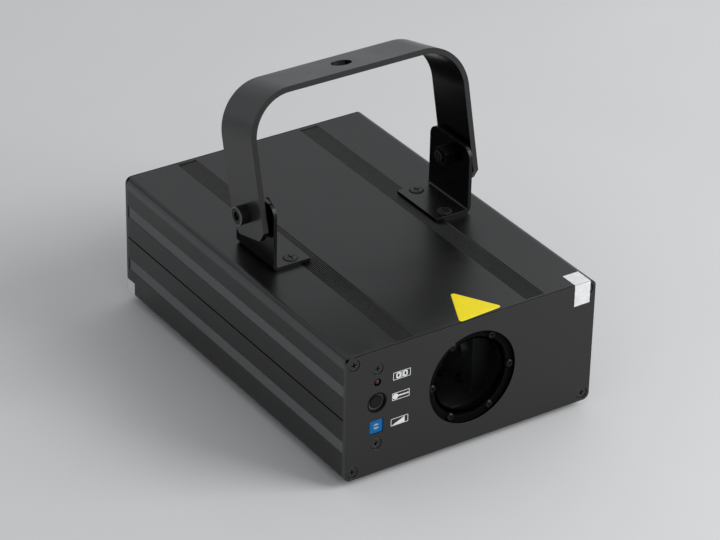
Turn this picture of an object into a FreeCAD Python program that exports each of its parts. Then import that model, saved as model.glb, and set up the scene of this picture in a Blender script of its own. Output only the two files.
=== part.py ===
import FreeCAD, Part
import math
import os
import re
import Sketcher

# Laser show projector: an extruded box of two half shells closed by two flat end plates,
# hung in a yoke on two angle brackets, with the scanner and boards inside.
# Frame: X to the right seen from the front, Y to the back, Z up, in millimetres.
# The origin is on the surface that the feet stand on, under the middle of the whole part.

DRIVING_SIZES = [
    # Extruded housing
    ("housing_width", 150, "outside width of the shells"),
    ("housing_depth", 216, "front face to rear face, end plates included"),
    ("housing_height", 71, "outside height of both shells together"),
    ("wall", 2.5, "wall of the shells"),
    ("corner_radius", 3.5, "long outer edges and plate corners"),
    ("plate_thickness", 2, "front and rear plates"),
    ("rear_reach", 3, "reach of the rear fittings behind the rear plate"),
    ("seam_gap", 1, "shadow line between the shells"),
    ("tongue_height", 2.2, "top of the tongue above mid height"),
    ("tongue_thickness", 1.1, "tongue of the lower shell"),
    ("slip_fit", 0.1, "gap between pieces that slide together"),
    ("port_inset_x", 4.7, "plate screw to the side face"),
    ("port_inset_z", 4.5, "plate screw to the top or bottom face"),
    ("port_wall", 3.2, "metal round a screw port"),
    # Ribbed bands of the extrusion
    ("top_band_spacing", 77, "between the two bands on top"),
    ("top_band_width", 11.3, "each band on top"),
    ("top_rib_count", 10, "grooves in a top band"),
    ("side_band_offset", 16, "band on a side wall from mid height"),
    ("side_band_width", 7, "each band on a side wall"),
    ("side_rib_count", 6, "grooves in a side band"),
    ("band_depth", 0.4, "band floor under the face"),
    ("rib_depth", 0.4, "groove under the band floor"),
    ("rib_land", 0.35, "flat left between two grooves"),
    # Screws and nuts
    ("m3_diameter", 3, "M3 shank"),
    ("m3_hole", 3.2, "M3 clearance hole"),
    ("m3_csk_head", 6, "M3 countersunk head"),
    ("m3_csk_length", 10, "M3 countersunk screw"),
    ("head_sink", 0.3, "plate screw heads below the plate faces"),
    ("m3_pan_head", 5.6, "M3 pan head"),
    ("m3_pan_height", 1.9, "M3 pan head"),
    ("m3_pan_length", 6, "M3 pan screw under its head"),
    ("m3_nut_width", 5.5, "M3 nut across flats"),
    ("m3_nut_height", 2.4, "M3 nut"),
    ("m4_diameter", 4, "M4 shank"),
    ("m4_hole", 4.3, "M4 clearance hole"),
    ("m4_csk_head", 8, "M4 raised countersunk head"),
    ("m4_csk_crown", 0.8, "raised part of the head"),
    ("m4_csk_length", 10, "M4 countersunk screw"),
    ("m4_nut_width", 7, "M4 nut across flats"),
    ("m4_nut_height", 3.2, "M4 nut"),
    ("m6_diameter", 6, "M6 shank"),
    ("m6_head", 10, "M6 socket head"),
    ("m6_head_height", 6, "M6 socket head"),
    ("m6_socket_width", 5, "hexagon socket across flats"),
    ("m6_socket_depth", 3, "hexagon socket"),
    ("m6_nut_width", 10, "M6 lock nut across flats"),
    ("m6_nut_height", 6, "M6 lock nut"),
    ("bolt_end", 1.5, "screw end past its nut"),
    ("seat_gap", 0.05, "gap round a seated screw or plug"),
    ("pivot_fit", 0.06, "running gap round a pivot, on the radius"),
    ("cross_width", 0.8, "arm of a cross recess"),
    ("cross_depth", 0.9, "cross recess"),
    # Feet
    ("foot_height", 4, "rubber foot"),
    ("foot_diameter", 14, "rubber foot at the shell"),
    ("foot_tip", 12, "rubber foot at the floor"),
    ("foot_inset_x", 13, "feet from the side faces"),
    ("foot_inset_y", 16, "feet from the front and rear faces"),
    ("foot_recess", 2.6, "hollow for the screw head"),
    # Front plate
    ("aperture_margin", 9.5, "plate left above and below the round beam opening"),
    ("aperture_x", 0.5, "centre of the opening from the middle"),
    ("aperture_rise", 1.5, "centre of the opening above mid height"),
    ("window_step", 4, "window glass inside the edge of the opening"),
    ("window_thickness", 2, "window glass"),
    ("ring_overlap", 4, "window ring behind the plate"),
    ("ring_thickness", 4, "window ring"),
    ("ring_lip", 2, "rim of the ring behind the glass"),
    ("clip_offset", 1.5, "screws from the edge of the glass"),
    ("clip_count", 6, "screws round the window"),
    ("clip_head", 4.2, "head of a window screw"),
    ("clip_head_height", 1.3, "head of a window screw"),
    ("clip_shank", 2, "shank of a window screw"),
    ("control_inset", 18.5, "column of controls from the left side"),
    ("led_share", 0.742, "lamp above the underside, as a share of the height"),
    ("led_diameter", 3, "lamp"),
    ("led_hole", 4.2, "hole round the lamp"),
    ("microphone_share", 0.577, "microphone above the underside, as a share of the height"),
    ("microphone_hole", 11.5, "hole for the grommet"),
    ("microphone_diameter", 9.5, "microphone capsule"),
    ("microphone_felt", 6.5, "felt on the capsule"),
    ("trimmer_share", 0.38, "trimmer above the underside, as a share of the height"),
    ("trimmer_width", 7.6, "square trimmer"),
    ("trimmer_screw_diameter", 3.8, "turning centre of the trimmer"),
    ("high_screw_share", 0.849, "upper board screw, as a share of the height"),
    ("low_screw_share", 0.239, "lower board screw, as a share of the height"),
    ("sound_board_gap", 4, "spacers between plate and board"),
    ("sound_board_width", 15, "sound board"),
    ("sound_board_margin", 4.5, "board past its screws"),
    ("board_thickness", 1.6, "all circuit boards"),
    # Angle brackets and yoke
    ("bracket_inset", 14.5, "outer face of an upright leg from the side face"),
    ("bracket_base", 22, "foot of a bracket across the width"),
    ("bracket_length", 36, "bracket along the depth"),
    ("bracket_rise", 37, "leg above the shell"),
    ("bracket_thickness", 2, "bracket sheet"),
    ("bracket_bend", 1.2, "inside of the bend"),
    ("bracket_round", 6, "upper corners of a leg"),
    ("bracket_screw_inset", 8.8, "screws from the free edge of the foot"),
    ("bracket_screw_spacing", 26, "between the two screws of a bracket"),
    ("pivot_height", 27, "yoke pivot above the shell"),
    ("yoke_clearance", 2, "leg to arm, where the friction washer sits"),
    ("yoke_thickness", 3, "flat bar"),
    ("yoke_width", 30, "flat bar"),
    ("yoke_rise", 63, "pivot to the outer face of the strap"),
    ("yoke_tail", 13, "arm below the pivot"),
    ("yoke_bend", 25, "outside of the bends"),
    ("yoke_cut", 5, "cut corners at the arm ends"),
    ("yoke_lean", 14, "backward lean at rest, in degrees"),
    ("hanging_hole", 11, "hole for the hanging bolt"),
    ("washer_diameter", 16, "friction washer"),
    # Rear plate fittings
    ("fan_share", 0.26, "fan from the middle, as a share of the width"),
    ("fan_size", 50, "square fan frame"),
    ("fan_depth", 15, "fan frame"),
    ("fan_bore", 47, "air bore"),
    ("fan_hub", 24, "rotor hub"),
    ("fan_screw_spacing", 40, "between the fan screws"),
    ("fan_screw_diameter", 4, "fan screw"),
    ("fan_screw_head", 7, "fan screw head"),
    ("fan_screw_head_height", 1.5, "fan screw head"),
    ("fan_screw_length", 9, "fan screw under its head"),
    ("fan_bars", 2, "bars that carry the hub"),
    ("fan_post", 3, "post that carries the rotor"),
    ("blade_count", 7, "blades"),
    ("blade_reach", 21.5, "blade tip from the axis"),
    ("blade_half_chord", 5.6, "half the blade across the axis"),
    ("blade_thickness", 1.1, "blade"),
    ("guard_wire", 1.4, "wire of the guard"),
    ("guard_ring", 23.5, "radius of the largest ring"),
    ("guard_ring_count", 4, "rings"),
    ("inlet_share", 0.25, "mains inlet from the middle, as a share of the width"),
    ("lower_row_share", 0.25, "inlet and switch, as a share of the height"),
    ("inlet_width", 27, "inlet body"),
    ("inlet_height", 19.8, "inlet body"),
    ("inlet_depth", 19, "inlet body behind the plate's face"),
    ("inlet_flange", 1.5, "rim round the inlet on each side"),
    ("inlet_flange_thickness", 2, "rim of the inlet"),
    ("inlet_cavity_width", 24, "plug hollow"),
    ("inlet_cavity_height", 16.4, "plug hollow"),
    ("inlet_cavity_depth", 16, "plug hollow"),
    ("inlet_cavity_cut", 4, "cut corners of the hollow"),
    ("inlet_pin_spacing", 14, "between the outer pins"),
    ("inlet_pin_offset", 4, "middle pin above the others"),
    ("inlet_pin_width", 2, "pin"),
    ("inlet_pin_height", 4, "pin"),
    ("inlet_pin_recess", 3, "pin tip behind the mouth"),
    ("switch_x", 0, "power switch from the middle"),
    ("switch_width", 13, "switch body"),
    ("switch_height", 19, "switch body"),
    ("switch_depth", 12, "switch body behind the plate's face"),
    ("switch_wall", 1.2, "switch body"),
    ("switch_rim", 1.2, "rim round the switch body"),
    ("switch_flange", 1.2, "rim of the switch"),
    ("rocker_lean", 9, "rocker each way from the middle, in degrees"),
    ("rocker_pin", 2, "pivot pin of the rocker"),
    ("rocker_sink", 2.2, "pivot behind the plate's face"),
    ("rocker_crown", 3.6, "ridge of the rocker above its pivot"),
    ("rocker_gap", 0.4, "rocker to the switch body"),
    ("upper_row_share", 0.715, "signal sockets, as a share of the height"),
    ("signal_in_share", 0.36, "signal input from the middle, as a share of the width"),
    ("signal_out_share", 0.15, "signal output from the middle, as a share of the width"),
    ("socket_width", 26, "socket flange"),
    ("socket_height", 31, "socket flange"),
    ("socket_flange", 1.8, "socket flange"),
    ("socket_body", 23.6, "socket barrel"),
    ("socket_depth", 19, "socket barrel behind the plate's face"),
    ("socket_bore", 18, "hollow of the input, recess of the output"),
    ("socket_bore_depth", 14, "hollow of the input"),
    ("socket_core", 15, "contact block of the output"),
    ("socket_core_depth", 8, "recess round the contact block"),
    ("socket_screw_x", 19, "socket screws across"),
    ("socket_screw_z", 24, "socket screws upright"),
    ("contact_circle", 10.4, "circle through the three contacts"),
    ("contact_pin", 2.4, "contact pin"),
    ("contact_length", 11, "contact pin"),
    ("latch_width", 6, "release tab of the output"),
    ("latch_height", 2.2, "release tab of the output"),
    ("latch_rise", 0.6, "middle of the release tab above the recess"),
    ("latch_reach", 2.6, "release tab before the plate's face"),
    ("latch_depth", 6, "release tab behind the plate's face"),
    ("latch_travel", 1.2, "release tab"),
    ("mode_x", 0, "slide switch from the middle"),
    ("mode_travel", 5, "slide switch, end to end"),
    ("mode_lever", 4, "lever of the slide switch, across"),
    ("mode_lever_height", 3.6, "lever of the slide switch, upright"),
    ("mode_lever_reach", 2.5, "lever before the plate's face"),
    ("mode_body_width", 12, "body of the slide switch"),
    ("mode_body_height", 8, "body of the slide switch"),
    ("mode_body_depth", 6, "body of the slide switch"),
    ("mode_floor", 1, "floor of the slide switch's channel"),
    # Scanner and boards inside
    ("standoff_share", 0.1, "hexagon pillars on the floor, as a share of the height"),
    ("standoff_width", 5.5, "hexagon pillar across flats"),
    ("standoff_bore_depth", 5, "threaded hole in a pillar"),
    ("inner_side", 10.5, "optics base and boards from the side walls"),
    ("base_depth", 62, "optics base"),
    ("base_thickness", 3, "optics base"),
    ("base_front", 14, "optics base behind the front face"),
    ("pillar_inset", 5, "pillars from the edges of what they carry"),
    ("scan_depth", 31, "mirrors behind the front face"),
    ("scan_clearance", 2.8, "first scanner motor above the optics base"),
    ("laser_margin", 8.5, "laser block from the edge of the optics base"),
    ("laser_width", 22, "laser block along the depth"),
    ("laser_clearance", 20, "laser block from the mirror axis"),
    ("fin_count", 6, "slots in the laser block"),
    ("fin_slot", 2.4, "slot in the laser block"),
    ("fin_depth", 8, "slot in the laser block"),
    ("nose_diameter", 11, "lens barrel of the laser"),
    ("nose_length", 8, "lens barrel of the laser"),
    ("motor_diameter", 16, "scanner motor"),
    ("motor_length", 18, "scanner motor"),
    ("motor_distance", 9, "scanner motor from its mirror's middle"),
    ("shaft_diameter", 3, "scanner shaft"),
    ("shaft_hold", 7, "scanner shaft inside its motor"),
    ("hub_diameter", 6, "mirror holder"),
    ("hub_length", 4, "mirror holder"),
    ("mirror_length", 8, "mirror along its shaft"),
    ("mirror_width", 11, "mirror across its shaft"),
    ("mirror_thickness", 1.2, "mirror"),
    ("mirror_hold", 1.5, "mirror inside its holder"),
    ("block_thickness", 9, "scanner block"),
    ("block_margin", 4, "scanner block round a motor"),
    ("clamp_rise", 3.6, "clamp screws above the base"),
    ("clamp_side", 0.6, "clamp screw outside the side of its motor"),
    ("base_screw_length", 8, "countersunk screws under the base"),
    ("circuit_depth", 66, "power board and control board, along the depth"),
    ("circuit_gap", 8, "between the two boards"),
    ("circuit_rear", 32, "boards from the rear face"),
    ("transformer_width", 24, "transformer"),
    ("transformer_depth", 20, "transformer"),
    ("transformer_height", 18, "transformer"),
    ("capacitor_diameter", 16, "mains capacitor"),
    ("capacitor_height", 25, "mains capacitor"),
    ("sink_height", 24, "heat sink"),
    ("sink_thickness", 3, "heat sink"),
    ("chip_size", 14, "controller chip"),
    ("chip_height", 2, "controller chip"),
    ("plug_length", 15, "board connector"),
    ("plug_width", 6, "board connector"),
    ("plug_height", 9, "board connector"),
    ("plug_gap", 3, "between the board connectors"),
]

# Sizes that follow from the ones above, so that the fittings keep their place when the housing changes.
FOLLOWING_SIZES = [
    ("foot_spacing_x", "housing_width - 2 * foot_inset_x", "between the feet across the width"),
    ("foot_spacing_y", "housing_depth - 2 * foot_inset_y", "between the feet along the depth"),
    ("aperture_diameter", "housing_height - 2 * aperture_margin", "round beam opening"),
    ("aperture_height", "housing_height / 2 + aperture_rise", "centre of the opening above the underside"),
    ("window_diameter", "aperture_diameter - 2 * window_step", "window glass"),
    ("ring_diameter", "aperture_diameter + 2 * ring_overlap", "window ring"),
    ("clip_circle", "window_diameter + 2 * clip_offset", "screws round the window"),
    ("led_height", "housing_height * led_share", "lamp above the underside"),
    ("microphone_height", "housing_height * microphone_share", "microphone above the underside"),
    ("trimmer_height", "housing_height * trimmer_share", "trimmer above the underside"),
    ("sound_screw_high", "housing_height * high_screw_share", "upper board screw above the underside"),
    ("sound_screw_low", "housing_height * low_screw_share", "lower board screw above the underside"),
    ("bracket_span", "housing_width - 2 * bracket_inset", "between the outer faces of the upright legs"),
    ("yoke_span", "bracket_span + 2 * (yoke_thickness + yoke_clearance)", "outer faces of the arms"),
    ("fan_x", "housing_width * fan_share", "fan from the middle"),
    ("inlet_x", "-housing_width * inlet_share", "mains inlet from the middle"),
    ("signal_in_x", "-housing_width * signal_in_share", "signal input from the middle"),
    ("signal_out_x", "-housing_width * signal_out_share", "signal output from the middle"),
    ("lower_row", "housing_height * lower_row_share", "inlet and switch above the underside"),
    ("upper_row", "housing_height * upper_row_share", "signal sockets above the underside"),
    ("standoff_height", "housing_height * standoff_share", "hexagon pillars on the floor"),
    ("base_width", "housing_width - 2 * (wall + inner_side)", "optics base"),
    ("laser_length", "base_width / 2 - laser_margin + aperture_x - laser_clearance", "laser block"),
    ("circuit_width", "(base_width - circuit_gap) / 2", "power board and control board, across the width"),
]

# Places that many pieces share, as expressions of the sheet's names.
HALF = "(housing_width / 2)"
BOTTOM = "(foot_height)"
TOP = "(foot_height + housing_height)"
MID = "(foot_height + housing_height / 2)"
FRONT = "(-(housing_depth + rear_reach) / 2)"
REAR = "((housing_depth - rear_reach) / 2)"
CENTRE_Y = "(-rear_reach / 2)"
FRONT_BACK = "(-(housing_depth + rear_reach) / 2 + plate_thickness)"
REAR_INSIDE = "((housing_depth - rear_reach) / 2 - plate_thickness)"
APERTURE_Z = "(foot_height + aperture_height)"
CONTROL_X = "(control_inset - housing_width / 2)"
BOARD_Y = "(-(housing_depth + rear_reach) / 2 + plate_thickness + sound_board_gap)"
PIVOT_Z = "(foot_height + housing_height + pivot_height)"
FLOOR = "(foot_height + wall)"
DECK = "(foot_height + wall + standoff_height)"
DECK_TOP = "(foot_height + wall + standoff_height + base_thickness)"
CIRCUIT_TOP = "(foot_height + wall + standoff_height + board_thickness)"
LOWER_Z = "(foot_height + lower_row)"
UPPER_Z = "(foot_height + upper_row)"
SCAN_Y = "(-(housing_depth + rear_reach) / 2 + scan_depth)"
FIRST_Z = "(foot_height + wall + standoff_height + base_thickness + motor_diameter / 2 + scan_clearance)"

V = FreeCAD.Vector
AXES = {"x": V(1, 0, 0), "y": V(0, 1, 0), "z": V(0, 0, 1)}
AXES.update({"-" + name: axis * -1 for name, axis in list(AXES.items())})

doc = FreeCAD.newDocument("laser_projector")
sheet = doc.addObject("Spreadsheet::Sheet", "Sizes")
ALL_SIZES = DRIVING_SIZES + [(alias, "=" + rule, note) for alias, rule, note in FOLLOWING_SIZES]
for row, (alias, value, note) in enumerate(ALL_SIZES, start=1):
    sheet.set("A%d" % row, alias)
    sheet.set("B%d" % row, str(value))
    sheet.setAlias("B%d" % row, alias)
    sheet.set("C%d" % row, note)
derived = doc.addObject("Spreadsheet::Sheet", "Derived")
doc.recompute()
SIZE_NAMES = {alias for alias, value, note in ALL_SIZES}
nodes = []


def bind(text):
    """The expression with each size name pointed at its cell in the sheet."""
    return re.sub(r"[a-z]\w*", lambda word: "Sizes." * (word.group() in SIZE_NAMES) + word.group(), text)


def size(text):
    """The value of an expression of size names, in millimetres or degrees."""
    derived.set("A1", "=" + bind(text))
    derived.recompute()
    return float(derived.get("A1"))


def spot(x, y, z):
    """A point from three expressions."""
    return V(size(x), size(y), size(z))


def keep(item, name):
    """Give a finished sub-part its name and list it for writing."""
    item.Label = name
    nodes.append(item)
    return item


def place(item, x, y, z, axis="z", turn=0):
    """Set an item's own Z axis along an axis of the part, at a bound place."""
    aim = FreeCAD.Rotation(AXES["z"], AXES[axis])
    item.Placement = FreeCAD.Placement(V(), aim * FreeCAD.Rotation(AXES["z"], turn))
    for letter, text in zip("xyz", (x, y, z)):
        item.setExpression("Placement.Base." + letter, bind(text))
    return item


def box(low, extent):
    """A block from the expressions of its low corner and its three lengths."""
    item = doc.addObject("Part::Box", "Block")
    for prop, text in zip(("Length", "Width", "Height"), extent):
        item.setExpression(prop, bind(text))
    return place(item, *low)


def centred_box(centre, extent):
    """A block from the expressions of its centre and its three lengths."""
    low = ["%s - (%s) / 2" % pair for pair in zip(centre, extent)]
    return box(low, extent)


def rod(start, diameter, length, axis="z"):
    """A round bar that leaves its start point along an axis."""
    item = doc.addObject("Part::Cylinder", "Rod")
    item.setExpression("Radius", bind("(%s) / 2" % diameter))
    item.setExpression("Height", bind(length))
    return place(item, *start, axis)


def cone(start, first, second, length, axis="z"):
    """A tapered bar with the diameters of its two ends."""
    item = doc.addObject("Part::Cone", "Taper")
    item.setExpression("Radius1", bind("(%s) / 2" % first))
    item.setExpression("Radius2", bind("(%s) / 2" % second))
    item.setExpression("Height", bind(length))
    return place(item, *start, axis)


def hexagon(start, width, length, axis="z"):
    """A six-sided bar of a width across flats."""
    item = doc.addObject("Part::Prism", "Hexagon")
    item.Polygon = 6
    item.setExpression("Circumradius", bind("(%s) / sqrt(3)" % width))
    item.setExpression("Height", bind(length))
    return place(item, *start, axis)


def torus(centre, ring, wire, axis="y"):
    """A ring of round wire, from its middle radius and the wire's diameter."""
    item = doc.addObject("Part::Torus", "Ring")
    item.setExpression("Radius1", bind(ring))
    item.setExpression("Radius2", bind("(%s) / 2" % wire))
    return place(item, *centre, axis)


def fuse(*items):
    """One solid from several that overlap or touch."""
    item = doc.addObject("Part::MultiFuse", "Union")
    item.Shapes = list(items)
    return item


def cut(base, *tools):
    """The base with every tool taken away."""
    item = doc.addObject("Part::Cut", "Cut")
    item.Base = base
    item.Tool = tools[0] if len(tools) == 1 else fuse(*tools)
    return item


def group(name, master, places):
    """Like pieces in one node: a master's solid set at each place, its Z along an axis."""
    doc.recompute()
    copies = []
    for point, axis in places:
        copy = master.Shape.copy()
        copy.Placement = FreeCAD.Placement(point, FreeCAD.Rotation(AXES["z"], AXES[axis]))
        copies.append(copy)
    item = doc.addObject("Part::Feature", name)
    item.Shape = Part.makeCompound(copies)
    return keep(item, name)


def new_body(name):
    """An empty body that is kept under a name."""
    return keep(doc.addObject("PartDesign::Body", name), name)


def origin_feature(body, role):
    """A plane or axis of a body's own origin."""
    return next(item for item in body.Origin.OriginFeatures if item.Role == role)


def sketch_on(body, plane, level="0"):
    """A sketch on a plane of the body's origin, at a level along the plane's axis."""
    sketch = body.newObject("Sketcher::SketchObject", "Sketch")
    sketch.AttachmentSupport = [(origin_feature(body, plane + "_Plane"), "")]
    sketch.MapMode = "FlatFace"
    facing = "-(%s)" if plane == "XZ" else "%s"
    sketch.setExpression("AttachmentOffset.Base.z", bind(facing % level))
    return sketch


def pin(sketch, geometry, point, x, y):
    """Hold a point of a sketch at a bound distance from both axes."""
    for kind, text in (("DistanceX", x), ("DistanceY", y)):
        number = sketch.addConstraint(Sketcher.Constraint(kind, -1, 1, geometry, point, size(text)))
        sketch.setExpression("Constraints[%d]" % number, bind(text))


def outline(sketch, corners):
    """A closed outline of straight lines through bound corners."""
    first = sketch.GeometryCount
    points = [V(size(x), size(y), 0) for x, y in corners]
    for start, end in zip(points, points[1:] + points[:1]):
        sketch.addGeometry(Part.LineSegment(start, end), False)
    for number, (x, y) in enumerate(corners):
        following = first + (number + 1) % len(corners)
        sketch.addConstraint(Sketcher.Constraint("Coincident", first + number, 2, following, 1))
        pin(sketch, first + number, 1, x, y)


def rectangle(sketch, x, y, width, height):
    """A rectangle about a bound centre."""
    left, right = ("%s %s (%s) / 2" % (x, sign, width) for sign in "-+")
    low, high = ("%s %s (%s) / 2" % (y, sign, height) for sign in "-+")
    outline(sketch, [(left, low), (right, low), (right, high), (left, high)])


def circle(sketch, x, y, diameter):
    """A circle about a bound centre."""
    index = sketch.addGeometry(Part.Circle(V(size(x), size(y), 0), AXES["z"], size(diameter) / 2), False)
    pin(sketch, index, 3, x, y)
    number = sketch.addConstraint(Sketcher.Constraint("Diameter", index, size(diameter)))
    sketch.setExpression("Constraints[%d]" % number, bind(diameter))


def pad(body, sketch, length, both=False, flip=False):
    """Material from a sketch, to one side of it or to both."""
    feature = body.newObject("PartDesign::Pad", "Pad")
    feature.Profile = sketch
    feature.SideType = "Symmetric" if both else "One side"
    feature.Reversed = flip
    feature.setExpression("Length", bind(length))
    doc.recompute()
    return feature


def pocket(body, sketch, length=None, flip=False):
    """A recess from a sketch, of a depth or right through; it has to take material away."""
    before = body.Shape.Volume
    feature = body.newObject("PartDesign::Pocket", "Pocket")
    feature.Profile = sketch
    if length is None:
        feature.Type = "ThroughAll"
        feature.SideType = "Symmetric"
    else:
        feature.Reversed = flip
        feature.setExpression("Length", bind(length))
    doc.recompute()
    if feature.Shape.Volume >= before:
        raise RuntimeError("a recess of %s takes nothing away" % body.Label)
    return feature


def row_of(body, feature, axis, count, pitch):
    """The feature repeated along an axis of the body, a pitch apart."""
    pattern = body.newObject("PartDesign::LinearPattern", "Row")
    pattern.Originals = [feature]
    pattern.Direction = (origin_feature(body, axis + "_Axis"), [""])
    pattern.setExpression("Length", bind("(%s - 1) * (%s)" % (count, pitch)))
    pattern.setExpression("Occurrences", bind(count))
    body.Tip = pattern
    doc.recompute()
    return pattern


def lines_along(feature, axis, spots):
    """Names of the straight edges along an axis that pass through points of the cross plane."""
    along = "xyz".index(axis)
    across = [number for number in range(3) if number != along]
    names = []
    for number, edge in enumerate(feature.Shape.Edges, start=1):
        ends = [vertex.Point for vertex in edge.Vertexes]
        if edge.Curve.TypeId != "Part::GeomLine" or abs(ends[0][along] - ends[1][along]) < 1e-3:
            continue
        for place_pair in spots:
            offsets = [abs(end[k] - value) for end in ends for k, value in zip(across, place_pair)]
            if max(offsets) < 1e-3:
                names.append("Edge%d" % number)
    return names


def rims(feature, axis, level, diameter):
    """Names of the round edges of a diameter that lie at a level along an axis."""
    along = "xyz".index(axis)
    names = []
    for number, edge in enumerate(feature.Shape.Edges, start=1):
        if edge.Curve.TypeId != "Part::GeomCircle":
            continue
        if abs(edge.Curve.Radius - diameter / 2) < 1e-3 and abs(edge.Curve.Center[along] - level) < 1e-3:
            names.append("Edge%d" % number)
    return names


def dress(body, kind, feature, edges, amount):
    """A fillet or chamfer of a bound size on named edges."""
    if not edges:
        raise RuntimeError("no edges to dress on %s" % body.Label)
    dressed = body.newObject("PartDesign::" + kind, kind)
    dressed.Base = (feature, edges)
    dressed.setExpression("Radius" if kind == "Fillet" else "Size", bind(amount))
    doc.recompute()
    return dressed


def countersunk(diameter, head, length):
    """A countersunk screw with a cross recess: head face at Z 0, shank down."""
    taper = "((%s) - (%s)) / 2" % (head, diameter)
    top = cone(("0", "0", "-(%s)" % taper), diameter, head, taper)
    shank = rod(("0", "0", "-(%s)" % length), diameter, "(%s) - %s" % (length, taper))
    return cut(fuse(top, shank), *cross_recess(head, "0"))


def raised(diameter, head, crown, length):
    """A countersunk screw with a raised crown on its head face at Z 0."""
    taper = "((%s) - (%s)) / 2" % (head, diameter)
    top = cone(("0", "0", "-(%s)" % taper), diameter, head, taper)
    dome = cone(("0", "0", "0"), head, "(%s) * 0.6" % head, crown)
    shank = rod(("0", "0", "-(%s)" % length), diameter, "(%s) - %s" % (length, taper))
    return cut(fuse(top, dome, shank), *cross_recess(head, crown))


def cross_recess(head, level):
    """Two crossed blocks that sink a cross recess into a head's face at a level."""
    arm = "(%s) * 0.55" % head
    middle = "(%s) - cross_depth / 2" % level
    return [centred_box(("0", "0", middle), extent)
            for extent in ((arm, "cross_width", "cross_depth"), ("cross_width", arm, "cross_depth"))]


def pan_head(diameter, head, height, length):
    """A pan head screw with a cross recess: seat at Z 0, head up, shank down."""
    rim = "(%s) * 0.5" % height
    low = rod(("0", "0", "0"), head, rim)
    high = cone(("0", "0", rim), head, "(%s) * 0.7" % head, "(%s) - %s" % (height, rim))
    shank = rod(("0", "0", "-(%s)" % length), diameter, length)
    return cut(fuse(low, high, shank), *cross_recess(head, height))


def nut(width, height, bore):
    """A hexagon nut that stands on Z 0."""
    return cut(hexagon(("0", "0", "0"), width, height), rod(("0", "0", "0"), bore, height))


def both_sides(x, y, z, axis):
    """A place and its mirror image across the middle of the width."""
    return [(spot(x, y, z), axis), (spot("-(%s)" % x, y, z), "-" + axis)]


def corner_places(x, y, z, axis):
    """Four places at plus and minus X and Y about the middle of the housing, or X and Z."""
    signs = [(a, b) for a in "-+" for b in "-+"]
    if axis.endswith("y"):
        return [(spot("%s(%s)" % (a, x), y, "%s %s (%s)" % (MID, b, z)), axis) for a, b in signs]
    return [(spot("%s(%s)" % (a, x), "%s %s (%s)" % (CENTRE_Y, b, y), z), axis) for a, b in signs]


PORT_X = "(housing_width / 2 - port_inset_x)"
PORT_Z = "(housing_height / 2 - port_inset_z)"
FOOT_X = "(foot_spacing_x / 2)"
FOOT_Y = "(foot_spacing_y / 2)"
BRACKET_X = "(bracket_span / 2 - bracket_base + bracket_screw_inset)"
BRACKET_Y = "(bracket_screw_spacing / 2)"
SCREW_BORE = "(m3_diameter + 2 * seat_gap)"


# The two half shells, one extruded section each: wall, screw ports, ribbed bands, tongued seam

def half_shell(name, sign):
    """A half shell; its section faces the seam, where the lower tongue fills the upper rebate."""
    body = new_body(name)
    step = "(%s - wall + tongue_thickness%s)" % (HALF, " + slip_fit" if sign == "+" else "")
    outer = "(%s %s housing_height / 2)" % (MID, sign)
    lip = "(%s %s seam_gap / 2)" % (MID, sign)
    seat = "(%s + tongue_height)" % MID
    port_low = "(%s %s (housing_height / 2 - port_inset_z - port_wall))" % (MID, sign)
    port_side = "(%s - port_inset_x - port_wall)" % HALF
    ceiling = "(%s %s (housing_height / 2 - wall))" % (MID, sign)
    inner = "(%s - wall)" % HALF
    right = [(HALF, outer), (HALF, lip), (step, lip), (step, seat), (inner, seat),
             (inner, port_low), (port_side, port_low), (port_side, ceiling)]
    left = [("-" + x, z) for x, z in reversed(right)]
    section = sketch_on(body, "XZ", CENTRE_Y)
    outline(section, right + left)
    bar = pad(body, section, "housing_depth - 2 * plate_thickness", both=True)
    edges = lines_along(bar, "y", [(size(HALF), size(outer)), (-size(HALF), size(outer))])
    dress(body, "Fillet", bar, edges, "corner_radius")
    ports = sketch_on(body, "XZ", CENTRE_Y)
    for side in "-+":
        circle(ports, side + PORT_X, "%s %s %s" % (MID, sign, PORT_Z), SCREW_BORE)
    pocket(body, ports)
    bands(body, sign, outer)
    return body


def bands(body, sign, outer):
    """Sunk bands with fine grooves, two on the flat face and one on each side wall."""
    inward = "-" if sign == "+" else "+"
    side_z = "(%s %s side_band_offset)" % (MID, sign)
    recess = sketch_on(body, "XZ", CENTRE_Y)
    for side in "-+":
        rectangle(recess, side + "top_band_spacing / 2", outer, "top_band_width", "2 * band_depth")
        rectangle(recess, side + HALF, side_z, "2 * band_depth", "side_band_width")
    pocket(body, recess)
    pitch = "(top_band_width / top_rib_count)"
    floor = "(%s %s band_depth)" % (outer, inward)
    groove = sketch_on(body, "XZ", CENTRE_Y)
    for side in "-+":
        left = "(%stop_band_spacing / 2 - top_band_width / 2 + rib_land / 2)" % side
        right = "(%s + %s - rib_land)" % (left, pitch)
        middle = "((%s + %s) / 2)" % (left, right)
        outline(groove, [(left, floor), (right, floor), (middle, "%s %s rib_depth" % (floor, inward))])
    row_of(body, pocket(body, groove), "X", "top_rib_count", pitch)
    pitch = "(side_band_width / side_rib_count)"
    groove = sketch_on(body, "XZ", CENTRE_Y)
    low = "(%s - side_band_width / 2 + rib_land / 2)" % side_z
    high = "(%s + %s - rib_land)" % (low, pitch)
    for side, back in ("+-", "-+"):
        face = "(%s(%s - band_depth))" % (side, HALF)
        bottom = "%s %s rib_depth" % (face, back)
        outline(groove, [(face, low), (face, high), (bottom, "(%s + %s) / 2" % (low, high))])
    row_of(body, pocket(body, groove), "Z", "side_rib_count", pitch)


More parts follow.
